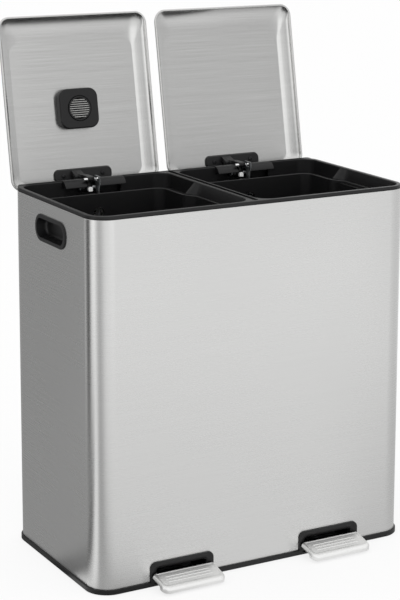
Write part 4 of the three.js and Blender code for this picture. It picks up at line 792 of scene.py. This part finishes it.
for side, word in ((-1, "left"), (1, "right")):
    t = quarter(4)
    rows = [plateLoop(-1.2 * (1 - math.sin(k)), bracketFace + 1.2 * (1 - math.cos(k))) for k in t]
    plate = gridPiece("hinge_bracket_" + word, rows + [plateLoop(bracket["flare"], panel - gap)])
    left, right, r = bracket["left"], bracket["right"], bracket["armRadius"]
    hub = (0, 0, bracket["hub"])
    crank = (*bracket["crank"], bracket["crankPin"] + bracket["boss"])
    knee, neck = (-hinge["ridge"] - 1.4, 2, r), (-hinge["ridge"] - 3.2, panel * 0.55, r)
    head = (-bracket["rear"] - bracket["length"] + bracket["thick"], bracketFace + 1, bracket["thick"] * 0.7)
    seat = (bracket["bufferShift"], -bracket["bufferReach"] + 4, 4)
    arm = chain("arm", [hub, knee, neck, head], left, right)
    combine(arm, "UNION", chain("flare", [neck, head], left - bracket["armFlare"], right),
            chain("web", [hub, crank], left, right),
            chain("web", [crank, knee], left, right), chain("boss", [hub, seat], left, right))
    softenEdges(arm, 0.9, 3)
    combine(plate, "UNION", arm)
    pinHole = prism("hole", roundLoop(0, 0, hinge["pin"] + 0.3, 24), left - 1, right + 1, "x")
    combine(plate, "DIFFERENCE", pinHole)
    place(plate, lidPlace(side))
    dress(plate, framePlastic, "lid_" + word, ["hinge_bracket_" + word])

    y, z = bracket["crank"]
    pinLeft = left - gap - bracket["pinHeadLength"]
    profile = [(1.9, pinLeft), (bracket["pinHead"] - 0.3, pinLeft + 0.2), (bracket["pinHead"], pinLeft + 0.7),
               (bracket["pinHead"], left - gap),
               (bracket["crankPin"], left - gap), (bracket["crankPin"], bracket["pinTip"] - 0.4),
               (bracket["crankPin"] - 0.4, bracket["pinTip"])]
    ring = roundLoop(0, 0, 1, 28)
    rows = [np.column_stack([np.full(28, x), y + k * ring[:, 0], z + k * ring[:, 1]]) for k, x in profile]
    pin = place(gridPiece("crank_pin_" + word, rows), lidPlace(side))
    dress(pin, turnedPin, "lid_" + word, ["crank_pin_" + word])

    middle, half, top = (left + right) / 2, bracket["buffer"] / 2, -bracket["bufferReach"] - gap
    pad = lambda inset, z: level(rectLoop(middle - half + inset, middle + half - inset,
            bracket["bufferShift"] - half + inset,
                                          bracket["bufferShift"] + half - inset, 2, 6), z)
    rows = [pad(0, top)] + [pad(1 - math.cos(k),
            top - bracket["bufferThick"] + 1 - math.sin(k)) for k in quarter(5)]
    stop = place(gridPiece("stop_buffer_" + word, rows), lidPlace(side))
    dress(stop, whiteNylon, "lid_" + word, ["stop_buffer_" + word])

    for number, end in ((1, -1), (2, 1)):
        under, h, r = bracketFace - gap, bracket["screwHeight"], bracket["screw"]
        profile = [(r, under)] + [(r * math.cos(k),
                under - h * (0.25 + 0.75 * math.sin(k))) for k in np.linspace(0, 1.2, 8)]
        screw = knob("bracket_screw", profile, end * bracket["spread"] / 2, screwY)
        x, low, wide = end * bracket["spread"] / 2, under - h - 1, 0.5
        cross = [brick("slot", x - 2, x + 2, screwY - wide, screwY + wide, low, under - h * 0.55),
                 brick("slot", x - wide, x + wide, screwY - 2, screwY + 2, low, under - h * 0.55)]
        combine(screw, "DIFFERENCE", *cross)
        place(screw, lidPlace(side)).name = "bracket_screw_%s_head_%d" % (word, number)
        dress(screw, darkScrew, "lid_" + word, ["bracket_screw_%s_%d" % (word, number)])
print("hinge brackets made")

# ---------------------------------------------------------------- air freshener, in the left lid's frame

fresh = dict(width=72, length=69, radius=16, thick=13.7, away=136, cap=21, capThick=4, capRim=3, slats=9,
             slot=2.4, sunk=0.6, puck=18.8)
freshBack = panel - gap
freshFace = freshBack - fresh["thick"]
capBack = freshFace + fresh["capThick"] - fresh["sunk"]


def caseLoop(inset, z):
    half = (fresh["width"] / 2 - inset, fresh["length"] / 2 - inset)
    loop = rectLoop(-half[0], half[0], -fresh["away"] - half[1], -fresh["away"] + half[1],
                    fresh["radius"] - inset, 14, 0.5)
    return level(loop, z)


rows = [caseLoop(0, freshBack)] + [caseLoop(2.6 * (1 - math.cos(k)),
freshFace + 4 * (1 - math.sin(k))) for k in quarter(9)]
case = gridPiece("freshener_case", rows)
mouth = fresh["cap"] + 0.6
bore = [(mouth + 1.6, freshFace - 1), (mouth + 0.8, freshFace), (mouth, freshFace + 0.8),
        (mouth, capBack + 0.3), (fresh["puck"], capBack + 0.3), (fresh["puck"], capBack + 7.6)]
combine(case, "DIFFERENCE", knob("bore", bore, 0, -fresh["away"]))
place(case, lidPlace(-1))
dress(case, framePlastic, "lid_left", ["freshener_case"])

capFace, r = capBack - fresh["capThick"], fresh["cap"]
profile = [(r - 0.8, capFace), (r - 0.25, capFace + 0.25), (r, capFace + 0.8), (r, capBack)]
rim = knob("freshener_cap_rim", profile, 0, -fresh["away"])
well = knob("well",
            [(r - fresh["capRim"] + 0.7, capFace - 1), (r - fresh["capRim"] + 0.7, capFace),
             (r - fresh["capRim"], capFace + 0.7), (r - fresh["capRim"], capBack + 1)], 0, -fresh["away"])
combine(rim, "DIFFERENCE", well)
dress(place(rim, lidPlace(-1)), framePlastic, "vent_cap", ["freshener_cap"])
inner = r - fresh["capRim"] + 0.2
pitch = 2 * inner / (fresh["slats"] + 1)
for number in range(fresh["slats"]):
    offset = (number - (fresh["slats"] - 1) / 2) * pitch
    half = math.sqrt(inner**2 - offset**2)
    thick = (pitch - fresh["slot"]) * 0.75
    y = -fresh["away"] + offset
    a = np.arange(16) * 2 * np.pi / 16
    section = np.stack([y + thick * np.cos(a), capFace + 1.6 + 1.3 * np.sin(a)], 1)
    # each slat is light grey: painted highlight on black rounded bars
    slat = prism("freshener_slat_%d" % (number + 1), section, -half, half, "x")
    dress(place(slat, lidPlace(-1)), grilleHighlightGrey, "vent_cap")
print("air freshener made")

# ---------------------------------------------------------------- carried-over nodes

plain = {
    framePlastic: ["rod_guide_left", "rod_guide_right", "pedal_carrier_left", "pedal_carrier_right",
                   "damper_clip_left", "damper_clip_right"],
    zincPlate: ["hinge_pin_left", "hinge_pin_right", "pedal_axle_left", "pedal_axle_right", "damper_left",
                "damper_right", "push_rod_left",
                "push_rod_right", "pedal_lever_left", "pedal_lever_right", "link_pin_left", "link_pin_right"],
    turnedPin: ["damper_rod_left", "damper_rod_right"],
    footRubber: ["foot_pad_front_left", "foot_pad_front_right", "foot_pad_rear_right", "foot_pad_rear_left"],
    charcoalFelt: ["charcoal_puck"],
}
for material, names in plain.items():
    for name in names:
        mesh = nodes[name].data
        mesh.materials.clear()
        mesh.materials.append(material)

# ---------------------------------------------------------------- camera, floor and light

view = dict(pixels=600, sensor=36, focal=1852.8, shift=-120, yaw=0.50886, pitch=0.1825, roll=0.00231,
            position=(-1496, -2645.9, 1181.3))
cy, sy, cp, sp = math.cos(view["yaw"]), math.sin(view["yaw"]), math.cos(view["pitch"]), math.sin(view["pitch"])
ahead = Vector((sy * cp, cy * cp, -sp))
right = Vector((cy, -sy, 0))
up = right.cross(ahead)
c, s = math.cos(view["roll"]), math.sin(view["roll"])
right, up = c * right + s * up, c * up - s * right
camera = bpy.data.objects.new("camera", bpy.data.cameras.new("camera"))
camera.data.lens = view["focal"] * view["sensor"] / view["pixels"]
camera.data.sensor_width = view["sensor"]
camera.data.shift_y = view["shift"] / view["pixels"]
camera.data.clip_end = 50
turn = Matrix((right, up, -ahead)).transposed().to_4x4()
camera.matrix_world = Matrix.Translation(Vector(view["position"]) / 1000) @ turn
bpy.context.scene.collection.objects.link(camera)
bpy.context.scene.camera = camera

scene = bpy.context.scene
scene.view_settings.view_transform = "Standard"


def addRamp(tree, stops):
    # Brightness by compass angle about the bin: 0 is +X, a quarter turn on is +Y, and -Y is at 270 degrees.
    spot = addNode(tree, "ShaderNodeTexCoord").outputs["Object"]
    flat = addNode(tree, "ShaderNodeSeparateXYZ", {"Vector": spot})
    angle = addMath(tree, "ARCTAN2", flat.outputs["Y"], flat.outputs["X"])
    whole = addMath(tree, "MULTIPLY", angle, 1 / (2 * math.pi))
    share = addNode(tree, "ShaderNodeMath", {0: whole}, operation="FRACT").outputs[0]
    ramp = addNode(tree, "ShaderNodeValToRGB", {"Fac": share})
    ramp.color_ramp.interpolation = "EASE"
    marks = ramp.color_ramp.elements
    while len(marks) > 1:
        marks.remove(marks[0])
    for index, (degrees, level) in enumerate(sorted(stops)):
        mark = marks[0] if index == 0 else marks.new(0.999)
        mark.position = degrees / 360
        mark.color = (level / 2, level / 2, level / 2, 1)
    return addMath(tree, "MULTIPLY", ramp.outputs["Color"], 2.0)


def addBackgroundRay(tree):
    # One for camera, glossy and transmission rays, and zero for the rest. The floor gives glossy rays its
    # own marks.
    path = addNode(tree, "ShaderNodeLightPath")
    first = addMath(tree, "MAXIMUM", path.outputs["Is Camera Ray"], path.outputs["Is Glossy Ray"])
    return addMath(tree, "MAXIMUM", first, path.outputs["Is Transmission Ray"])


studio = dict(ambient=0.97, floorShade=0.2, floorWhite=0.98, floorMirror=0.79, key=8, screenSides=180)
# What glossy rays alone see: brightness by compass angle in degrees, set so that the steel's bright and dark
# bands come out as in the photograph. These screens and the floor's marks hide the white background from
# those rays,
# save the ones that rise steeply enough to pass over the far screen.
# save the ones that rise steeply enough to pass over the far screen.
nearStops = [(0, 0.72), (45, 0.9), (70, 0.8), (95, 0.40), (126, 0.32), (134, 0.32), (142, 0.62), (150, 0.30),
             (163, 0.07), (170, 0.18), (178, 0.8),
             (184, 1.1), (192, 1.15), (198, 0.85), (206, 0.55), (214, 0.50), (222, 0.66), (232, 0.88),
             (242, 0.97), (270, 1.0), (306, 1.0),
             (320, 0.82), (340, 0.74), (360, 0.72)]
farStops = [(0, 0.75), (25, 0.8), (45, 1.15), (72, 1.1), (92, 0.45), (116, 0.32), (128, 0.35), (140, 0.2),
            (153, 0.05), (164, 0.3), (174, 1.2), (192, 1.35),
            (204, 0.95), (214, 0.75), (236, 0.80), (256, 0.95), (266, 1.3), (284, 1.4), (291, 0.70),
            (310, 0.64), (330, 0.68), (360, 0.75)]
# Close to the bin the floor lies at other angles than the screens, so its own marks carry the same bands to
# the foot.
floorStops = [(0, 0.72), (45, 0.9), (70, 0.8), (95, 0.45), (126, 0.42), (172, 0.42), (181, 0.20), (187, 0.20),
              (194, 1.05), (200, 1.15), (208, 0.55),
              (216, 0.50), (224, 0.66), (234, 0.88), (244, 0.97), (270, 1.0), (306, 1.0), (320, 0.82),
              (340, 0.74), (360, 0.72)]

world = bpy.data.worlds.new("studio")
scene.world = world
world.use_nodes = True
tree = world.node_tree
tree.nodes.clear()
strength = addNode(tree, "ShaderNodeMapRange",
                   {"Value": addBackgroundRay(tree), "To Min": studio["ambient"], "To Max": 1.0})
sky = addNode(tree, "ShaderNodeBackground", {"Color": (1, 1, 1, 1), "Strength": strength.outputs[0]})
addNode(tree, "ShaderNodeOutputWorld", {"Surface": sky.outputs[0]})

floorMaterial, tree = newMaterial("studio_floor")
matte = addNode(tree, "ShaderNodeBsdfDiffuse", {"Color": (*[studio["floorWhite"]] * 3, 1)})
glow = addNode(tree, "ShaderNodeEmission", {"Color": (1, 1, 1, 1), "Strength": 1.0})
amount = addMath(tree, "MULTIPLY", addBackgroundRay(tree), 1 - studio["floorShade"])
seen = addNode(tree, "ShaderNodeMixShader", {"Fac": amount, 1: matte.outputs[0], 2: glow.outputs[0]})
mirrored = addMath(tree, "MULTIPLY", addRamp(tree, floorStops), studio["floorMirror"])
card = addNode(tree, "ShaderNodeEmission", {"Color": (1, 1, 1, 1), "Strength": mirrored})
glossy = addNode(tree, "ShaderNodeLightPath").outputs["Is Glossy Ray"]
both = addNode(tree, "ShaderNodeMixShader", {"Fac": glossy, 1: seen.outputs[0], 2: card.outputs[0]})
addNode(tree, "ShaderNodeOutputMaterial", {"Surface": both.outputs[0]})
bpy.ops.mesh.primitive_plane_add(size=40, location=(0, 0, -0.0005))
ground = bpy.context.object
ground.name = "studio_floor"
ground.data.materials.append(floorMaterial)
ground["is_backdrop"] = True


def standScreen(name, radius, low, high, stops):
    # A round screen about the bin that only reflections see.
    count = studio["screenSides"]
    ring = roundLoop(0, 0, radius, count)
    points = np.concatenate([level(ring, low), level(ring, high)])
    i = np.arange(count)
    faces = np.stack([i, (i + 1) % count, (i + 1) % count + count, i + count], 1)
    mesh = bpy.data.meshes.new(name)
    mesh.from_pydata(points.tolist(), [], faces.tolist())
    screen = bpy.data.objects.new(name, mesh)
    scene.collection.objects.link(screen)
    material, tree = newMaterial(name)
    glow = addNode(tree, "ShaderNodeEmission", {"Color": (1, 1, 1, 1), "Strength": addRamp(tree, stops)})
    addNode(tree, "ShaderNodeOutputMaterial", {"Surface": glow.outputs[0]})
    mesh.materials.append(material)
    screen.visible_camera = screen.visible_diffuse = screen.visible_shadow = screen.visible_transmission = False
    screen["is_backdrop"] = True
    return screen


standScreen("near_screen", 1.2, 0.0, 0.62, nearStops)
standScreen("far_screen", 3.5, 0.0, 2.3, farStops)

key = bpy.data.lights.new("key_softbox", "AREA")
key.shape, key.size, key.size_y, key.energy = "RECTANGLE", 1.6, 1.2, studio["key"]
keyLamp = bpy.data.objects.new("key_softbox", key)
keyLamp.location = (-1.4, -1.6, 2.2)
keyLamp.rotation_euler = (Vector((0, 0, 0.4)) - keyLamp.location).to_track_quat("-Z", "Y").to_euler()
keyLamp.visible_glossy = False
scene.collection.objects.link(keyLamp)

size = [[list(corner) for corner in cadBox], [list(corner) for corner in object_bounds()]]
print("scene made, size", [round(b - a, 4) for a, b in zip(*size[1])])
